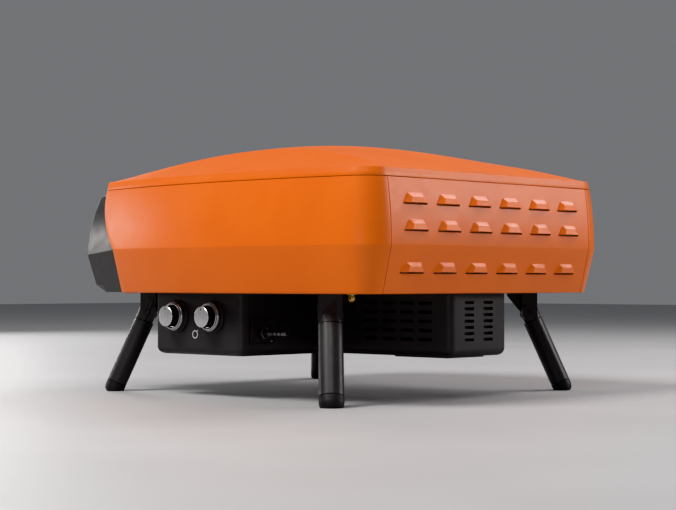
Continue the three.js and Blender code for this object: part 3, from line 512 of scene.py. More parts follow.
def half_outline(e, front_y, corner_steps=14, side_steps=36, start_x=REAR_HALF):
    """Points [x, y] of the right half of the outline, offset by e, from the rear flat forwards."""
    last = math.degrees(math.asin((front_y - SIDE_C[1]) / (SIDE_R + e)))
    corner = arc(CORNER_R + e, 90, CORNER_END, corner_steps, *CORNER_C)
    side = arc(SIDE_R + e, CORNER_END, last, side_steps, *SIDE_C)
    return [(start_x, REAR_Y + e), *corner[1:], *side[1:]]


def shell_profile(top):
    """Points [offset, height] up the shell, with a rounded bottom edge and ridge."""
    flange, above, steps = 12.0, 6.0, 16
    corners = [
        (-BOTTOM_IN - flange, BOTTOM_Z), (-BOTTOM_IN, BOTTOM_Z),
        (RIDGE_OUT, RIDGE_Z), (RIDGE_OUT, RIDGE_Z + above),
    ]
    rows = [row for row in fillet(corners, [3.0, 14.0]) if row[1] < RIDGE_Z + above - 1.0]
    start = rows[-1][1]
    for i in range(1, steps + 1):
        z = lerp(start, top, i / steps)
        rows.append((shell_out(z), z))
    return rows


def hood_half(z):
    """Half width of the hood where it meets the side panels."""
    if z < HOOD_BEND_Z:
        z = max(z, HOOD_LOW_Z)
        return between(z, HOOD_LOW_Z, HOOD_BEND_Z, HOOD_FOOT_HALF, HOOD_BEND_HALF)
    if z < RIDGE_Z:
        return between(z, HOOD_BEND_Z, RIDGE_Z, HOOD_BEND_HALF, HOOD_RIDGE_HALF)
    return lerp(HOOD_RIDGE_HALF, HOOD_TOP_HALF, ((z - RIDGE_Z) / (HOOD_TOP_Z - RIDGE_Z)) ** 2)


def tip_y(z):
    """Y of the hood's front edge at a height."""
    if z <= HOOD_BEND_Z:
        return between(z, HOOD_LOW_Z, HOOD_BEND_Z, TIP_LOW_Y, TIP_BEND_Y)
    if z <= RIDGE_Z:
        return between(z, HOOD_BEND_Z, RIDGE_Z, TIP_BEND_Y, TIP_RIDGE_Y)
    s = (z - RIDGE_Z) / (HOOD_TOP_Z - RIDGE_Z)
    return TIP_RIDGE_Y + TIP_LEAN * s + TIP_BOW * s * s


# ---- shell panels
def side_panel(side, name):
    """One side with its rear corner, and a front flange that reaches in to the hood."""
    rows = []
    for e, z in shell_profile(SEAM_Z - SEAM_GAP):
        front = side_front_y(z)
        edge = half_outline(e, front, start_x=REAR_HALF + SEAM_GAP)
        hood_z = max(z, HOOD_LOW_Z)
        part = max(0.0, (front - HOOD_REAR_Y) / (tip_y(hood_z) - HOOD_REAR_Y))
        flange_x = hood_half(hood_z) - HOOD_NARROW * part + SHEET + FLANGE_GAP
        line = edge[:-2] + fillet([*edge[-2:], (flange_x, edge[-1][1] + 0.4)], [1.6], 3)
        rows.append([(side * x, y, z) for x, y in line])
    sheet_metal(to_object(name, outward(grid_bm(rows)), "orange_paint", 40.0))


LOUVRE_XS = [(i - 2.5) * 69.0 for i in range(6)]
LOUVRE_ZS = [187.0, 244.0, 280.0]
LOUVRE_HALF, LOUVRE_TOP_HALF, LOUVRE_HIGH = 25.0, 16.4, 13.5
LOUVRE_OUT, LOUVRE_SLOT = 7.0, 2.3
# distances in from a louvre's edge at which its surface is drawn
LOUVRE_RINGS = [0.0, 0.35, 0.7, 1.1, 2.0, 3.0, 4.0, 4.6, 5.1, 5.6, 6.2, 6.8, 7.4, 8.2, 9.2]


def louvre_line(inset):
    """Arch-shaped line round a louvre, [across, up] from the middle of its lip."""
    half = LOUVRE_HALF - 1.12 * inset
    top = LOUVRE_TOP_HALF - 0.8 * inset
    high = LOUVRE_HIGH - inset
    corner = fillet([(-half, 0), (-top, high), (0, high)], [max(6.0 - 0.6 * inset, 1.2)])
    left = [corner[0].lerp(corner[1], k / 6) for k in range(6)] + corner[1:-1]
    left += [corner[-2].lerp(corner[-1], k / 4) for k in range(1, 5)]
    return left + [(-x, z) for x, z in reversed(left[:-1])]


def louvre_rise(inset, up):
    """How far the pressed louvre stands out of the panel."""
    slope = 1.08 * (math.sqrt(inset * inset + 0.25) - 0.5)
    front = LOUVRE_OUT + 0.3 - 0.27 * up
    soft = 0.9
    return min(slope, front) - max(soft - abs(slope - front), 0.0) ** 2 / (4 * soft)


def inside(point, outline):
    """Whether a point lies within a closed outline."""
    x, y = point
    hit = False
    for (x0, y0), (x1, y1) in zip(outline, outline[1:] + outline[:1]):
        if (y0 > y) != (y1 > y) and x < between(y, y0, y1, x0, x1):
            hit = not hit
    return hit


def rear_panel():
    """A flat sheet in triangles, open where the louvres are, and a louvre over each opening."""
    half = REAR_HALF - SEAM_GAP
    profile = shell_profile(SEAM_Z - SEAM_GAP)
    z_rows = [z for _, z in profile[1:]]
    flat, edges, holes, points, faces = [], [], [], [], []

    def out_at(z):
        for (e0, z0), (e1, z1) in zip(profile[1:], profile[2:]):
            if z <= z1 + 1e-4:
                return between(z, z0, z1, e0, e1)
        return profile[-1][0]

    def chain(line, ring=False):
        start, count = len(flat), len(line)
        flat.extend(Vector(p) for p in line)
        links = range(count if ring else count - 1)
        edges.extend((start + k, start + (k + 1) % count) for k in links)

    for z in (z_rows[0], z_rows[-1]):
        chain([(-half, z), (half, z)])
    for x in (-half, half):
        chain([(x, z) for z in z_rows])
    lows = [z - LOUVRE_HIGH / 2 for z in LOUVRE_ZS]
    clear = LOUVRE_HALF + 3.5
    for z in z_rows[1:-1]:
        stops = [-half, half]
        if any(low - 4 < z < low + LOUVRE_HIGH + 3 for low in lows):
            stops[1:1] = [x + d for x in LOUVRE_XS for d in (-clear, clear)]
        for x0, x1 in zip(stops[::2], stops[1::2]):
            chain([(x0, z), (x1, z)])
    for low, x in ((low, x) for low in lows for x in LOUVRE_XS):
        for grow in (0.0, 0.6):
            ring = [(x + u, low + v) for u, v in louvre_line(-grow)]
            across = LOUVRE_HALF - 1.0 + grow
            ring += [(x + side * across, low - LOUVRE_SLOT - grow) for side in (1, -1)]
            chain(ring, True)
            if not grow:
                holes.append(ring)
        first = len(points)
        for inset in LOUVRE_RINGS:
            line = louvre_line(inset)
            for u, v in line:
                y = REAR_Y + out_at(low + v) + louvre_rise(inset, v)
                points.append((x + u, y, low + v))
        faces += grid_faces(len(LOUVRE_RINGS), len(line), first)
        faces.append(tuple(range(len(points) - len(line), len(points))))
    verts, _, triangles = delaunay_2d_cdt(flat, edges, [], 0, 1e-5)[:3]
    first = len(points)
    points += [(v.x, REAR_Y + out_at(v.y), v.y) for v in verts]
    for triangle in triangles:
        middle = sum((verts[k] for k in triangle), Vector((0, 0))) / len(triangle)
        near = [h for h in holes if (Vector(h[0]) - middle).length < 2.4 * LOUVRE_HALF]
        if not any(inside(middle, hole) for hole in near):
            faces.append(tuple(first + k for k in triangle))
    bottom = [k for k, v in enumerate(verts) if abs(v.y - z_rows[0]) < 1e-3]
    bottom.sort(key=lambda k: verts[k].x)
    for k, q in zip(bottom, bottom[1:]):
        start = len(points)
        points += [(verts[i].x, REAR_Y + profile[0][0], profile[0][1]) for i in (k, q)]
        faces.append((first + k, first + q, start + 1, start))
    bm = outward(bm_from(points, faces))
    solidify(crisp_rim(to_object("rear_louvre_panel", bm, "orange_paint", 42.0)))


def arch(t, rise, fall):
    """A lopsided arch over 0 to 1 with a height of 1."""
    peak = rise / (rise + fall)
    t = min(max(t, 0.0), 1.0)
    return (t ** rise * (1 - t) ** fall) / (peak ** rise * (1 - peak) ** fall)


def top_rows(inset, drop, front_y, steps):
    """Slices over the top, each from +X to -X, with the crease on each side rounded."""
    edge = half_outline(-BAND_IN - inset, front_y, *steps)
    rows = []
    for x_edge, y in edge:
        t = (edge[0][1] - y) / (edge[0][1] - front_y)
        x_crease = min(lerp(REAR_HALF, x_edge, t) - CREASE_BOW * t * (1 - t), x_edge)
        z_crease = lerp(BAND_Z, CREASE_Z, arch(t, 1.07, 1.26))
        z_crown = lerp(BAND_Z, CROWN_Z, arch(t, 1.33, 1.38))

        def crown(u):
            return Vector((u * x_crease, lerp(z_crown, z_crease, u * u)))

        gap = x_edge - x_crease
        soft = min(3.0, 0.2 * gap)
        slope_end = Vector((x_crease + soft, lerp(z_crease, BAND_Z, soft / max(gap, 1e-6))))
        u_end = 1 - soft / max(x_crease, 1.0)
        half = [Vector((x_edge, BAND_Z)).lerp(slope_end, k / 7) for k in range(7)]
        half += bend(slope_end, Vector((x_crease, z_crease)), crown(u_end), 5)
        half += [crown(u_end * (1 - k / 12)) for k in range(1, 13)]
        full = half + [(-x, z) for x, z in reversed(half[:-1])]
        rows.append([(x, y, z - drop) for x, z in full])
    return rows


def domed_bm(inset, drop, skirt, front_y, steps):
    """The cap with a skirt round its edge; skirt is a list of [offset, height] below the cap."""
    rows = top_rows(inset, drop, front_y, steps)
    n, m = len(rows), len(rows[0])
    points = [p for row in rows for p in row]
    faces = grid_faces(n, m)
    rim = [(0, j) for j in range(m - 1)] + [(i, m - 1) for i in range(n - 1)]
    rim += [(n - 1, j) for j in range(m - 1, 0, -1)] + [(i, 0) for i in range(n - 1, 0, -1)]
    upper = [i * m + j for i, j in rim]
    for e, z in skirt:
        edge = half_outline(e, front_y, *steps)
        lower = range(len(points), len(points) + len(rim))
        for i, j in rim:
            x, y = edge[i]
            points.append((x * rows[i][j][0] / rows[i][0][0], y, z))
        for k in range(len(rim)):
            q = (k + 1) % len(rim)
            faces.append((upper[k], upper[q], lower[q], lower[k]))
        upper = lower
    return bm_from(points, faces)


def top_cover():
    skirt = [(shell_out(z), z) for z in (0.5 * (SEAM_Z + BAND_Z), SEAM_Z + SEAM_GAP)]
    bm = outward(domed_bm(0, 0, skirt, FRONT_SEAM_Y, (14, 40)))
    cover = bevel(to_object("top_cover", bm, "orange_paint", None), 2.2, 3, 30.0)
    bevel(solidify(cover), 0.4, 2, 60.0)


def inner_dome():
    bm = outward(domed_bm(16, 17, [(-19.0, 171.6)], -210.0, (8, 24)))
    sheet = solidify(to_object("inner_dome_sheet", bm, "steel", None, None))
    solid = evaluated(sheet)
    bpy.data.objects.remove(sheet)
    opening = block_bm(-224, 224, -240, -190, 157, 298)
    to_object("inner_dome", cut(solid, opening), "steel", 35.0)


def lap_strips():
    """Joggled laps behind the seams, so that no seam shows the insulation."""
    thickness, behind = 0.8, 2.0
    edge = half_outline(-2.4, FRONT_SEAM_Y + 3, 12, 20)
    full = edge + [(-x, y) for x, y in reversed(edge)]
    seam = [[(x, y, z) for x, y in full] for z in (SEAM_Z - 10, SEAM_Z + 3)]
    laps = {"seam_lap": grid_bm(seam, wrap=True)}
    profile = shell_profile(SEAM_Z - 3)[6:]
    for side, name in ((1, "right"), (-1, "left")):
        rows = [[(side * x, REAR_Y + e - behind, z) for x in (213.0, 230.0)] for e, z in profile]
        laps[f"corner_lap_{name}"] = grid_bm(rows)
    for name, bm in laps.items():
        solidify(to_object(name, outward(bm), "orange_paint"), thickness)


# ---- mouth
def mirrored(right):
    """A closed loop from its right half, whose two ends lie on the middle plane."""
    return right + [(-x, y, z) for x, y, z in reversed(right[1:-1])]


def hood_ring(part, bottom, inward=0.0, back=0.0):
    """Closed loop round the hood; part runs from 0 where it leaves the shell to 1 at the tip."""
    low = max(HOOD_BEND_Z + 1.0, bottom + 2.0)
    line = [(0.0, bottom), (MID_X, bottom), (HOOD_FOOT_HALF, bottom), (HOOD_BEND_HALF, low)]
    line.append((0.5 * (HOOD_BEND_HALF + HOOD_RIDGE_HALF), 0.5 * (low + RIDGE_Z)))
    heights = [lerp(RIDGE_Z, HOOD_TOP_Z, k / 10) for k in range(11)]
    line += [(hood_half(z), z) for z in heights] + [(MID_X, HOOD_TOP_Z), (0.0, HOOD_TOP_Z)]
    right = []
    for x, z in line:
        x -= (HOOD_NARROW * part + inward) * min(1.0, x / HOOD_FOOT_HALF)
        drop = max(0.0, 1.0 - abs(z - RIDGE_Z) / (34.0 if z > RIDGE_Z else 54.0))
        y = lerp(HOOD_REAR_Y, TIP_LOW_Y if z == bottom else tip_y(z), part) + back
        right.append((x, y, min(z - 0.4 * HOOD_NARROW * part * drop, HOOD_TOP_Z - inward)))
    return mirrored(right)


def mouth_ring(grow, y_of):
    """Closed loop round the mouth, with as many points as a hood ring."""
    corner = 4.0
    side, low, high = MOUTH_HALF + grow, MOUTH_Z0 - grow, MOUTH_Z1 + grow
    line = [(0.0, low), (MID_X, low), (MOUTH_HALF - corner, low), (side, MOUTH_Z0 + corner)]
    line.append((side, RIDGE_Z - corner))
    line += [(side, RIDGE_Z + 60.0 * k / 9) for k in range(10)]
    line += [(side - corner, high), (MID_X, high + 0.71 * MOUTH_CROWN), (0.0, high + MOUTH_CROWN)]
    return mirrored([(x, y_of(z), z) for x, z in line])


def mouth_hood():
    wall, inner_y = 1.6, -208.4

    def edge_y(z):
        share = max(0.0, z - MOUTH_Z0) / (MOUTH_Z1 + MOUTH_CROWN - MOUTH_Z0)
        return tip_y(lerp(HOOD_LOW_Z, HOOD_TOP_Z, share)) + 3

    loops = [hood_ring(part, BOTTOM_Z + 0.4) for part in (0.0, 0.35, 0.7)]
    loops += [
        hood_ring(1.0, BOTTOM_Z + 9.5),
        mouth_ring(0, edge_y),
        mouth_ring(0, lambda z: inner_y),
        mouth_ring(wall, lambda z: inner_y),
        mouth_ring(wall, lambda z: edge_y(z) + 4),
        hood_ring(1.0, BOTTOM_Z + 13, wall, 2.6),
        hood_ring(0.0, BOTTOM_Z + 4, wall),
    ]
    loops.append(loops[0])
    hood = to_object("mouth_hood", closed(grid_bm(loops, wrap=True)), "hood_paint", None)
    bevel(hood, 1.1, 3, 11.0)


def landing_plate():
    """Plate in front of the stone, with a round notch that clears it."""
    r, front, half = STONE_R + 7, -304.6, MOUTH_HALF - 10
    reach = math.degrees(0.86)
    notch = arc(r, reach - 90, -reach - 90, 60, 0.0, AXIS_Y)
    back = notch[0][1]
    outline = [(-half, front), (half, front), (half, back), *notch, (-half, back)]
    bm = prism_bm(outline, MOUTH_Z0 + 0.3, MOUTH_Z0 + 2.3)
    bevel(to_object("landing_plate", bm, "steel"), 0.5, 2, 40.0)


def front_lintel():
    """Flange under the cover's front edge, down to the top of the hood."""
    half = 246.5
    line = fillet([(-251.0, 311.0), (-251.0, 301.2), (-238.0, 301.2)], [2.0], 4)
    rows = [[(half * k / 4, y, z) for k in range(-4, 5)] for y, z in line]
    sheet_metal(to_object("front_lintel", outward(grid_bm(rows)), "orange_paint", 50.0))


# ---- turntable; turned profiles are [radius, height]
def stone():
    z0, z1, r = STONE_Z0, STONE_Z1, STONE_R
    profile = soft_profile([(0, z0), (r, z0), (r, z1), (0, z1)], 2.4, 4)
    profile = profile[:-1] + [(r * 0.66, z1), (r * 0.33, z1), (0, z1)]
    bm = turned(profile, "Z", (0, AXIS_Y, 0), 144)
    to_object("stone_disc", bm, "baking_stone", body="turntable")


def spindle():
    at = (0, AXIS_Y, 0)
    z = STONE_Z0 - 0.3
    hub = [(6.4, 174.4), (20, 174.4), (20, z - 4), (90, z - 4), (90, z), (6.4, z), (6.4, 174.4)]
    turned_piece("stone_carrier", hub, "steel", "turntable", "Z", at)
    shaft = [(0, 116), (6, 116), (6, z - 0.2), (0, z - 0.2)]
    turned_piece("turntable_shaft", shaft, "steel", "turntable", "Z", at)
    race = [(9, 170.4), (19, 170.4), (19, 174.2), (9, 174.2), (9, 170.4)]
    turned_piece("thrust_ring", race, "brass_fitting", "chassis", "Z", at)
    z = 153.2
    bush = [(6.08, 139), (13, 139), (13, z - 4), (24, z - 4), (24, z), (6.08, z), (6.08, 139)]
    turned_piece("shaft_bearing", bush, "brass_fitting", "chassis", "Z", at)
    can = [
        (0, 70), (14, 70), (14, 84), (19, 84), (19, 116), (8, 116), (8, 120),
        (3.09, 120), (3.09, 105), (0, 105),
    ]
    turned_piece("gear_motor", can, "steel", "chassis", "Z", (0, 81.5, 0), 0.8)


# ---- housing under the oven
def slant_x(y, extra):
    """X of the housing's slanted front wall, which keeps clear of the folding leg."""
    leg_x, leg_y, turn = LEGS["front_right"]
    turn = math.radians(-turn)
    return leg_x - (y - leg_y) / math.tan(turn) + (LEG_CLEAR + extra) / math.sin(turn)


def housing_outline(t):
    """Corners [x, y] with the radius of each vertical edge."""
    front = HOUSING_FRONT_Y + t
    return [
        (HOUSING_LEFT + t, front, 12),
        (slant_x(front, t), front, 10),
        (slant_x(WING_FRONT_Y + t, t), WING_FRONT_Y + t, 8),
        (WING_X - t, WING_FRONT_Y + t, 3.5),
        (WING_X - t, WING_REAR_Y - t, 12),
        (HOUSING_RIGHT - t, WING_REAR_Y - t, 6),
        (HOUSING_RIGHT - t, HOUSING_REAR_Y - t, 12),
        (HOUSING_LEFT + t, HOUSING_REAR_Y - t, 6),
    ]


def rounded_outline(points, less):
    """Outline through corners [x, y, radius], every radius made smaller by less."""
    out = []
    for i, (x, y, r) in enumerate(points):
        at, r = Vector((x, y)), max(r - less, 1.0)
        near = [Vector(points[k % len(points)][:2]) for k in (i - 1, i + 1)]
        start, end = [at + (p - at).normalized() * r for p in near]
        out += bend(start, at, end, 8)
    return out


def stadium(half, high):
    """Outline of a slot with rounded corners, [across, up] about its middle."""
    out, r = [], 1.5
    for u, v, first in ((1, -1, -90), (1, 1, 0), (-1, 1, 90), (-1, -1, 180)):
        out += arc(r, first, first + 90, 4, u * (half - r), v * (high / 2 - r))
    return out


def housing():
    wall, soft = 2.0, 11.0  # soft is the radius of the bottom edge

    def shell(less, top):
        rings = [[(x, y, top) for x, y in rounded_outline(housing_outline(less), less)]]
        for c, s in arc(1.0, 0, 90, 8):
            inset, z = lerp(soft, less, c), HOUSING_Z0 + lerp(soft, less, s)
            rings.append([(x, y, z) for x, y in rounded_outline(housing_outline(inset), inset)])
        return loft(rings)

    slot, bore = stadium(12.5, 4.6), circle(6.0)
    places = [(119.0 + 34.5 * i, 85.4 + 12.9 * j) for i in range(4) for j in range(5)]
    tools = [along_x(slot, -80, 80, *place) for place in places]
    slot = stadium(10.5, 4.0)
    tools += [along_y(slot, 255, 285, x, 85.0 + 8.8 * j) for x in (-26.9, 15.9) for j in range(7)]
    tools += [along_x(bore, 200, 260, y, KNOB_Z) for y in KNOB_YS.values()]
    tools.append(along_y(bore, -10, 60, INLET_X, INLET_Z))
    tools.append(block_bm(-37, 37, 153, 247, 56, 66))  # for the battery hatch
    tools.append(block_bm(HOUSING_LEFT - 5, HOUSING_LEFT + 5, -7, 13, 99, 113))  # for the switch
    body = cut(shell(0.0, HOUSING_Z1), shell(wall, HOUSING_Z1 + 5))
    to_object("underbody_housing", cut(body, merge(*tools)), "black_paint", 35.0)


def painted_slot_shade():
    """Thin near-black sheets just inside the slots: painted shade, so that the slots read dark."""
    z0, z1, y = 78, 146, HOUSING_REAR_Y - 5.5
    sides = (HOUSING_LEFT + 4.5, HOUSING_RIGHT - 5.5)
    parts = [block_bm(x, x + 1.0, 101, 240, z0, z1) for x in sides]
    parts.append(block_bm(HOUSING_LEFT + 20, HOUSING_RIGHT - 18, y, y + 1.0, z0, z1))
    to_object("painted_slot_shade", merge(*parts), "dark_hole")


def icon_mark():
    """Printed ring with a short tick at its upper right."""
    x, y, z, proud = WING_X + 0.05, -63.5, 90.8, 0.12
    ring = [(4.7, 0.0), (5.85, 0.0), (5.85, proud), (4.7, proud), (4.7, 0.0)]
    corners = ((6.9, -0.55), (9.2, -0.55), (9.2, 0.55), (6.9, 0.55))
    tick = [((u + w) * 0.707, (u - w) * 0.707) for u, w in corners]
    bm = merge(turned(ring, "X", (x, y, z), 48), along_x(tick, x, x + proud, y, z))
    to_object("icon_ring", bm, "icon_print")


# ---- gas controls
def knobs():
    ring = [(20.6, 0), (23.8, 0), (23.8, 1.5), (22.9, 2.6), (21.2, 3.4), (20.6, 3.4), (20.6, 0)]
    bezel = [
        (5, 0.2), (21.9, 0.2), (21.9, 2.4), (21.3, 8.8), (20.2, 9.9), (18.6, 10.3), (18.3, 11.9),
        (16.6, 11.4), (15.8, 10.4), (15.8, 2), (5, 2), (5, 0.2),
    ]
    lip = [(18.2, 10.2), (18.9, 10.2), (18.9, 12.3), (18.2, 12.5), (17.7, 12.1), (18.2, 10.2)]
    grip = [
        (4.09, 6), (14, 6), (14, 9.6), (13.3, 11), (13.3, 20.4), (13.9, 21.7), (4.09, 21.7),
        (4.09, 6),
    ]
    cap = [(0, 22), (14.6, 22), (15, 22.4), (15, 23.3), (14.3, 24), (0, 24)]
    dot = [(0, 23.95), (1.25, 23.95), (1.25, 24.06), (0, 24.06)]
    stem = [(0, 219.5), (4, 219.5), (4, 250), (0, 250)]
    face = WING_X + 0.3
    for name, y in KNOB_YS.items():
        knob = f"knob_{name}"
        for kind, profile, finish, body, x, radius, segments in (
            ("knob_ring", ring, "black_paint", "chassis", face, 0.3, 112),
            # the bezel's darker chrome is a painted dark reflection; the lip keeps the bright
            # chrome of the same ring
            ("knob_bezel", bezel, "bezel_chrome", "chassis", face, 0.35, 112),
            ("knob_lip", lip, "chrome_trim", "chassis", face, 0.2, 112),
            ("knob_grip", grip, "black_plastic", knob, WING_X, 0.5, 96),
            ("knob_cap", cap, "cap_steel", knob, WING_X, 0.25, 96),
        ):
            at = (x, y, KNOB_Z)
            turned_piece(f"{kind}_{name}", profile, finish, body, "X", at, radius, segments)
        mark = turned(dot, "X", (WING_X, y, KNOB_Z + 10.8), 24)
        to_object(f"knob_dot_{name}", mark, "dark_hole", body=knob)
        at, body = (0, y, KNOB_Z), f"stem_{name}"
        turned_piece(f"valve_stem_{name}", stem, "brass_fitting", body, "X", at, 0.4, 40)


def inlet():
    """Gas inlet on the rear face of the wing, and the small plug under the base."""
    back = WING_REAR_Y
    front = back + 1.8
    middle = (198.65, 95.8)
    rim = [(-22.95, -18), (22.95, -18), (22.95, 18), (-22.95, 18)]
    well = [(u * 0.93, v * 0.91) for u, v in rim]
    bm = along_y(rim, back + 0.3, front, *middle)
    bm = join(bm, along_y(rim, front - 0.2, front + 1.6, *middle))
    bm = cut(bm, along_y(well, front, front + 5, *middle))
    bm = cut(bm, along_y(circle(6.0), 20, 60, INLET_X, INLET_Z))
    bevel(to_object("inlet_plate", bm, "black_paint"), 0.45, 3, 40.0)
    head = [(0, -0.6), (2.4, -0.6), (2.4, 0.5), (1.7, 1.2), (0, 1.4)]
    turned_piece("inlet_screw", head, "dark_steel", "chassis", "Y", (180.6, front, 82.2), 0.2, 32)
    nut = along_y(circle(9.5, 6), back + 2.1, back + 10, INLET_X, INLET_Z)
    nut = cut(nut, along_y(circle(5.4), back - 5, back + 20, INLET_X, INLET_Z))
    bevel(to_object("inlet_nut", nut, "dark_steel"), 0.6, 3, 35.0)
    barb = [(0, -14.5), (4.4, -14.5), (4.4, 16)]
    for h in (20, 28, 36, 44):
        barb += [(3.9, h), (3.5, h + 6)]
    barb += [(3.3, 53), (2.4, 53), (2.4, -8), (0, -8)]
    at = (INLET_X, back, INLET_Z)
    turned_piece("hose_barb", barb, "dark_steel", "chassis", "Y", at, 0.25, 40)
    ball = arc(4.9, -90, 50, 14, 0.0, 144.0)
    plug = ball + [(3.2, 149.0), (7.6, 149.4), (8.0, 150.0), (8.0, 153.0), (0, 153.0)]
    to_object("brass_plug", turned(plug, "Z", (181, 195, 0), 48), "brass_fitting")


# ---- legs, in a frame at each hinge with X outwards and Y along the hinge
def along_leg(distance, side):
    """Point [outwards, up] at a distance down the leg's axis and to its outer side."""
    u, v = arc(1.0, LEG_TILT - 90, 0, 1)[0]
    return (u * distance - v * side, v * distance + u * side)


def leg_rod(profile):
    """Oval part about the leg's axis from [depth radius, distance from the hinge] points."""
    bm = turned([(r, -d) for r, d in profile])
    moved(bm, Matrix.Diagonal((1.0, LEG_WIDE / LEG_DEEP, 1.0, 1.0)))
    return moved(bm, Matrix.Rotation(-math.radians(LEG_TILT), 4, "Y"))


def pin_bore():
    return along_y(circle(4.08, 60), -20, 20)


def leg_bracket():
    """Upright with two cheeks, closed over the leg's top by a stub of the same oval."""
    back, thick, room_r = -12.5, 8.4, 13.4
    end = LEG_START - 0.35
    outline = [(back, LEG_TOP), *arc(end, -156, LEG_TILT - 90, 20), along_leg(end, LEG_DEEP + 1)]
    outline.append((outline[-1][0], LEG_TOP))
    envelope = along_y(outline, -LEG_WIDE, LEG_WIDE)
    stub = leg_rod([(0, -17), (LEG_DEEP, -17), (LEG_DEEP, end), (0, end)])
    upright = block_bm(back - 1, LEG_FACE, -LEG_CHEEK, LEG_CHEEK, -end * 0.2, LEG_TOP)
    side = [*arc(end, 150, 330, 30), (LEG_FACE, 0), (LEG_FACE, LEG_TOP), (back, LEG_TOP)]
    cheeks = merge(
        along_y(side, -LEG_CHEEK, -LEG_CHEEK + thick), along_y(side, LEG_CHEEK - thick, LEG_CHEEK)
    )
    solid = boolean(join(join(upright, stub), cheeks), envelope, "INTERSECT")
    room = [(-40, room_r), (-40, -60), (30, -60), along_leg(50, room_r)]
    solid = cut(solid, along_y(room + arc(room_r, LEG_TILT, 90, 10), -7, 7))
    web = [(-34, LEG_TOP), (-34, LEG_TOP - 5), (-18.5, 5.5), (-13, 0), (-12, LEG_TOP)]
    flange = block_bm(-34, LEG_FACE, -LEG_CHEEK, LEG_CHEEK, LEG_TOP - 2.5, LEG_TOP)
    return cut(join(join(solid, along_y(web, -2.8, 2.8)), flange), pin_bore())


def leg_tube():
    """Oval tube with a forked neck round the pin."""
    long = LEG_Z / math.cos(math.radians(LEG_TILT)) - FOOT_HIGH - 0.35
    r, neck_r, inner, outer = LEG_DEEP, 12.4, 3.4, 6.6
    tube = leg_rod([
        (0, LEG_START), (r - 0.6, LEG_START), (r, LEG_START + 0.6), (r, long - 0.4),
        (r - 0.4, long), (r - 2.4, long), (r - 2.4, 48), (0, 48),
    ])
    neck = arc(neck_r, LEG_TILT, LEG_TILT + 180, 16)
    neck += [along_leg(18, -neck_r), along_leg(18, neck_r)]
    fork = merge(along_y(neck, inner, outer), along_y(neck, -outer, -inner))
    slot = [along_leg(*p) for p in ((10, neck_r), (10, -20), (38, -20), (38, -2), (24, 6))]
    return cut(cut(join(tube, fork), along_y(slot, -inner, inner)), pin_bore())


def leg_foot():
    """Rubber boot, cut flat where it stands on the floor."""
    end = LEG_Z / math.cos(math.radians(LEG_TILT))
    r, top, round_from = LEG_DEEP, end - FOOT_HIGH, end - 7.5
    profile = [(0, top), (r - 0.5, top), (r, top + 0.5), (r, round_from)]
    quarter = arc(1.0, 0, 90, 8)[1:]
    profile += [(r - 6.5 + 6.5 * c, round_from + 11.0 * s) for c, s in quarter]
    boot = leg_rod(profile + [(0, end + 3.5)])
    return cut(boot, block_bm(-200, 200, -60, 60, -LEG_Z - 60, -LEG_Z))


def leg_screw(side):
    """Pan-head screw on a bracket's cheek, its axis along the hinge; side is +1 or -1."""
    head = [(0, -1), (2.6, -1), (2.6, 0.5), (2.08, 1.1), (1.17, 1.25), (1.092, 0.5), (0, 0.5)]
    return turned([(r, side * (LEG_CHEEK + h)) for r, h in head], "Y", (-8.5, 0, 9.3), 32)


def place_leg(bm, name):
    x, y, turn = LEGS[name]
    at = Matrix.Translation(Vector((x, y, LEG_Z)) * MM)
    return moved(bm, at @ Matrix.Rotation(math.radians(turn), 4, "Z"))


def legs():
    w = LEG_CHEEK + 1.2
    pin = [(0, -w), (3.4, -w), (4, -w + 0.6), (4, w - 0.6), (3.4, w), (0, w)]
    shapes = {
        "bracket": leg_bracket(), "tube": leg_tube(), "foot": leg_foot(),
        "pin": turned(pin, "Y", (0, 0, 0), 48), "screws": merge(leg_screw(-1), leg_screw(1)),
    }
    for name in LEGS:
        leg = f"leg_{name}"
        for shape, finish, smooth, body, edge in (
            ("bracket", "black_paint", 32.0, "chassis", (0.7, 3, 50.0)),
            ("tube", "black_paint", 32.0, leg, (0.35, 2, 55.0)),
            ("foot", "foot_rubber", 40.0, leg, None),
            ("pin", "blackened_steel", 30.0, "chassis", None),
            ("screws", "blackened_steel", 30.0, "chassis", None),
        ):
            bm = place_leg(shapes[shape].copy(), name)
            piece = to_object(f"leg_{shape}_{name}", bm, finish, smooth, body)
            if edge:
                bevel(piece, *edge)
    for bm in shapes.values():
        bm.free()


# ---- burners
def tube_along(points, r):
    """Round tube along points in millimetres, closed at both ends."""
    rows = []
    pts = [Vector(p) for p in points]
    for i, p in enumerate(pts):
        d = (pts[min(i + 1, len(pts) - 1)] - pts[max(i - 1, 0)]).normalized()
        side = d.cross(Vector((0, 0, 1))).normalized()
        up = side.cross(d)
        rows.append([p + side * u + up * v for u, v in circle(r, 20)])
    return loft(rows)


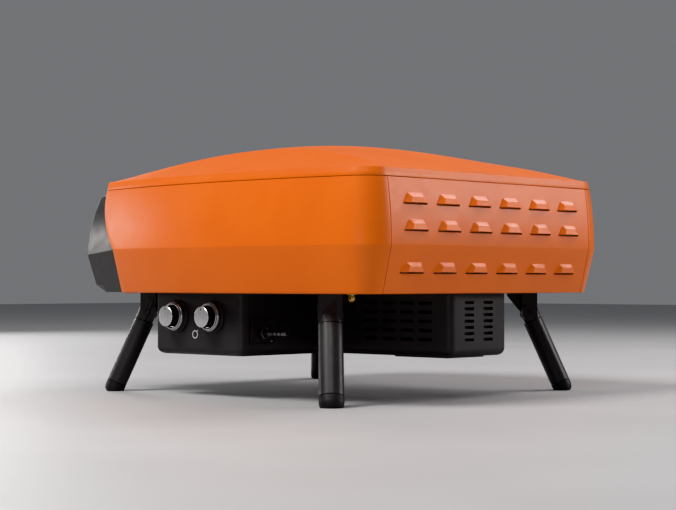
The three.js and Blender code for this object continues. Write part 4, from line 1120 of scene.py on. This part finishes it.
def burners():
    r, z, tube_r, arm, count = 232.0, 204.0, 10.0, 141.0, 48
    path = [(r, AXIS_Y - arm * (1 - k / 8), z) for k in range(8)]
    path += [(x, y, z) for x, y in arc(r, 0, 180, count, 0.0, AXIS_Y)]
    path += [(-r, AXIS_Y - arm * k / 8, z) for k in range(1, 9)]
    feet = [(-r, -82), (r, AXIS_Y), (-r, AXIS_Y), (0, AXIS_Y + r)]
    parts = [tube_along(path, tube_r)]
    parts += [block_bm(x - 5, x + 5, y - 5, y + 5, 170.5, 200) for x, y in feet]
    riser = [(0, 134), (5.5, 134), (5.5, z), (0, z)]
    parts.append(turned(riser, "Z", (227, KNOB_YS["main"], 0), 32))
    to_object("horseshoe_burner", merge(*parts), "steel", 40.0)
    # near-black discs on the tube stand in for the port holes: painted shade of the holes
    ports = []
    for c, s in arc(1.0, 0, 180, count)[2:-2]:
        spot = turned([(0, -0.3), (1.3, -0.3), (1.3, 0.25), (0, 0.25)], "Z", (0, 0, 0), 12)
        tilt = Matrix.Rotation(-math.radians(42), 4, Vector((-s, c, 0)))
        at = (Vector((r * c, AXIS_Y + r * s, z)) + tilt @ Vector((0, 0, tube_r))) * MM
        ports.append(moved(spot, Matrix.Translation(at) @ tilt))
    to_object("burner_ports", merge(*ports), "dark_hole")


# ---- kept CAD nodes
def dress_kept_nodes():
    """Every CAD node still showing gets its material and softened edges."""
    edges = {
        "drive_gear": 0.3, "motor_pinion": 0.25, "battery_hatch": 0.8, "switch_frame": 0.5,
        "switch_button": 0.8,
    }
    for name, node in frame["nodes"].items():
        if node.hide_render:
            continue
        node.data.materials.clear()
        node.data.materials.append(MATERIALS[NODE_SLOT[name]])
        for polygon in node.data.polygons:
            polygon.use_smooth = True
        bevel(node, edges.get(name, 0.35), 2, 35.0)


# ---- stage, lights and camera
def stage():
    half = 9000.0
    corners = [(-half, -half, 0), (half, -half, 0), (half, half, 0), (-half, half, 0)]
    floor = to_object("floor", bm_from(corners, [(0, 1, 2, 3)]), "floor_grey", None, None)
    world = bpy.data.worlds.new("studio")
    world.use_nodes = True
    background = world.node_tree.nodes["Background"]
    background.inputs["Color"].default_value = (0.80, 0.82, 0.85, 1.0)
    background.inputs["Strength"].default_value = 0.26
    bpy.context.scene.world = world


def area_light(name, position, target, size, power, color):
    """Soft box at a position, turned to a target; both are in metres."""
    data = bpy.data.lights.new(name, "AREA")
    data.shape = "RECTANGLE"
    data.size, data.size_y = size
    data.energy = power
    data.color = color
    light = new_object(name, data)
    light.location = position
    aim = Vector(target) - Vector(position)
    light.rotation_euler = aim.to_track_quat("-Z", "Y").to_euler()


def camera():
    data = bpy.data.cameras.new("camera")
    data.lens = 89.7
    data.sensor_width = 36.0
    cam = new_object("camera", data)
    cam.location = (1.8806, 1.7715, 0.1661)
    cam.rotation_euler = (math.radians(90.94), 0.0, math.radians(133.32))
    bpy.context.scene.camera = cam


side_panel(1, "side_panel_right")
side_panel(-1, "side_panel_left")
for build in (
    rear_panel, top_cover, lap_strips, mouth_hood, front_lintel, landing_plate, inner_dome, stone,
    spindle, housing, painted_slot_shade, icon_mark, knobs, inlet, legs, burners, dress_kept_nodes, stage,
):
    build()
for light in (
    ("key", (2.2, -0.46, 3.0), (0.1, 0.0, 0.2), (1.3, 1.3), 116.0, (1, 0.97, 0.94)),
    ("left_strip", (1.05, -3.0, 0.5), (0.2, -0.2, 0.24), (0.8, 0.36), 8.0, (1, 0.95, 0.93)),
    ("rear_box", (-2.5, 2.5, 1.15), (0.0, 0.2, 0.25), (1.7, 1.1), 36.0, (1, 0.94, 0.93)),
    ("rear_high", (-2.3, 0.6, 2.3), (0.0, 0.0, 0.3), (1.6, 1.4), 52.0, (1, 0.96, 0.95)),
    ("front_soft", (2.0, 1.8, 2.9), (0.1, 0.1, 0.1), (1.4, 1.4), 26.0, (1, 0.98, 0.97)),
    ("mouth_fill", (-0.9, -3.0, 0.9), (0.0, -0.1, 0.22), (1.2, 0.8), 26.0, (1, 0.98, 0.96)),
    ("low_fill", (2.3, 1.0, 0.22), (0.1, 0.0, 0.1), (1.2, 0.25), 2.6, (1, 0.98, 0.97)),
):
    area_light(*light)
camera()
bpy.context.scene.view_settings.view_transform = "Khronos PBR Neutral"
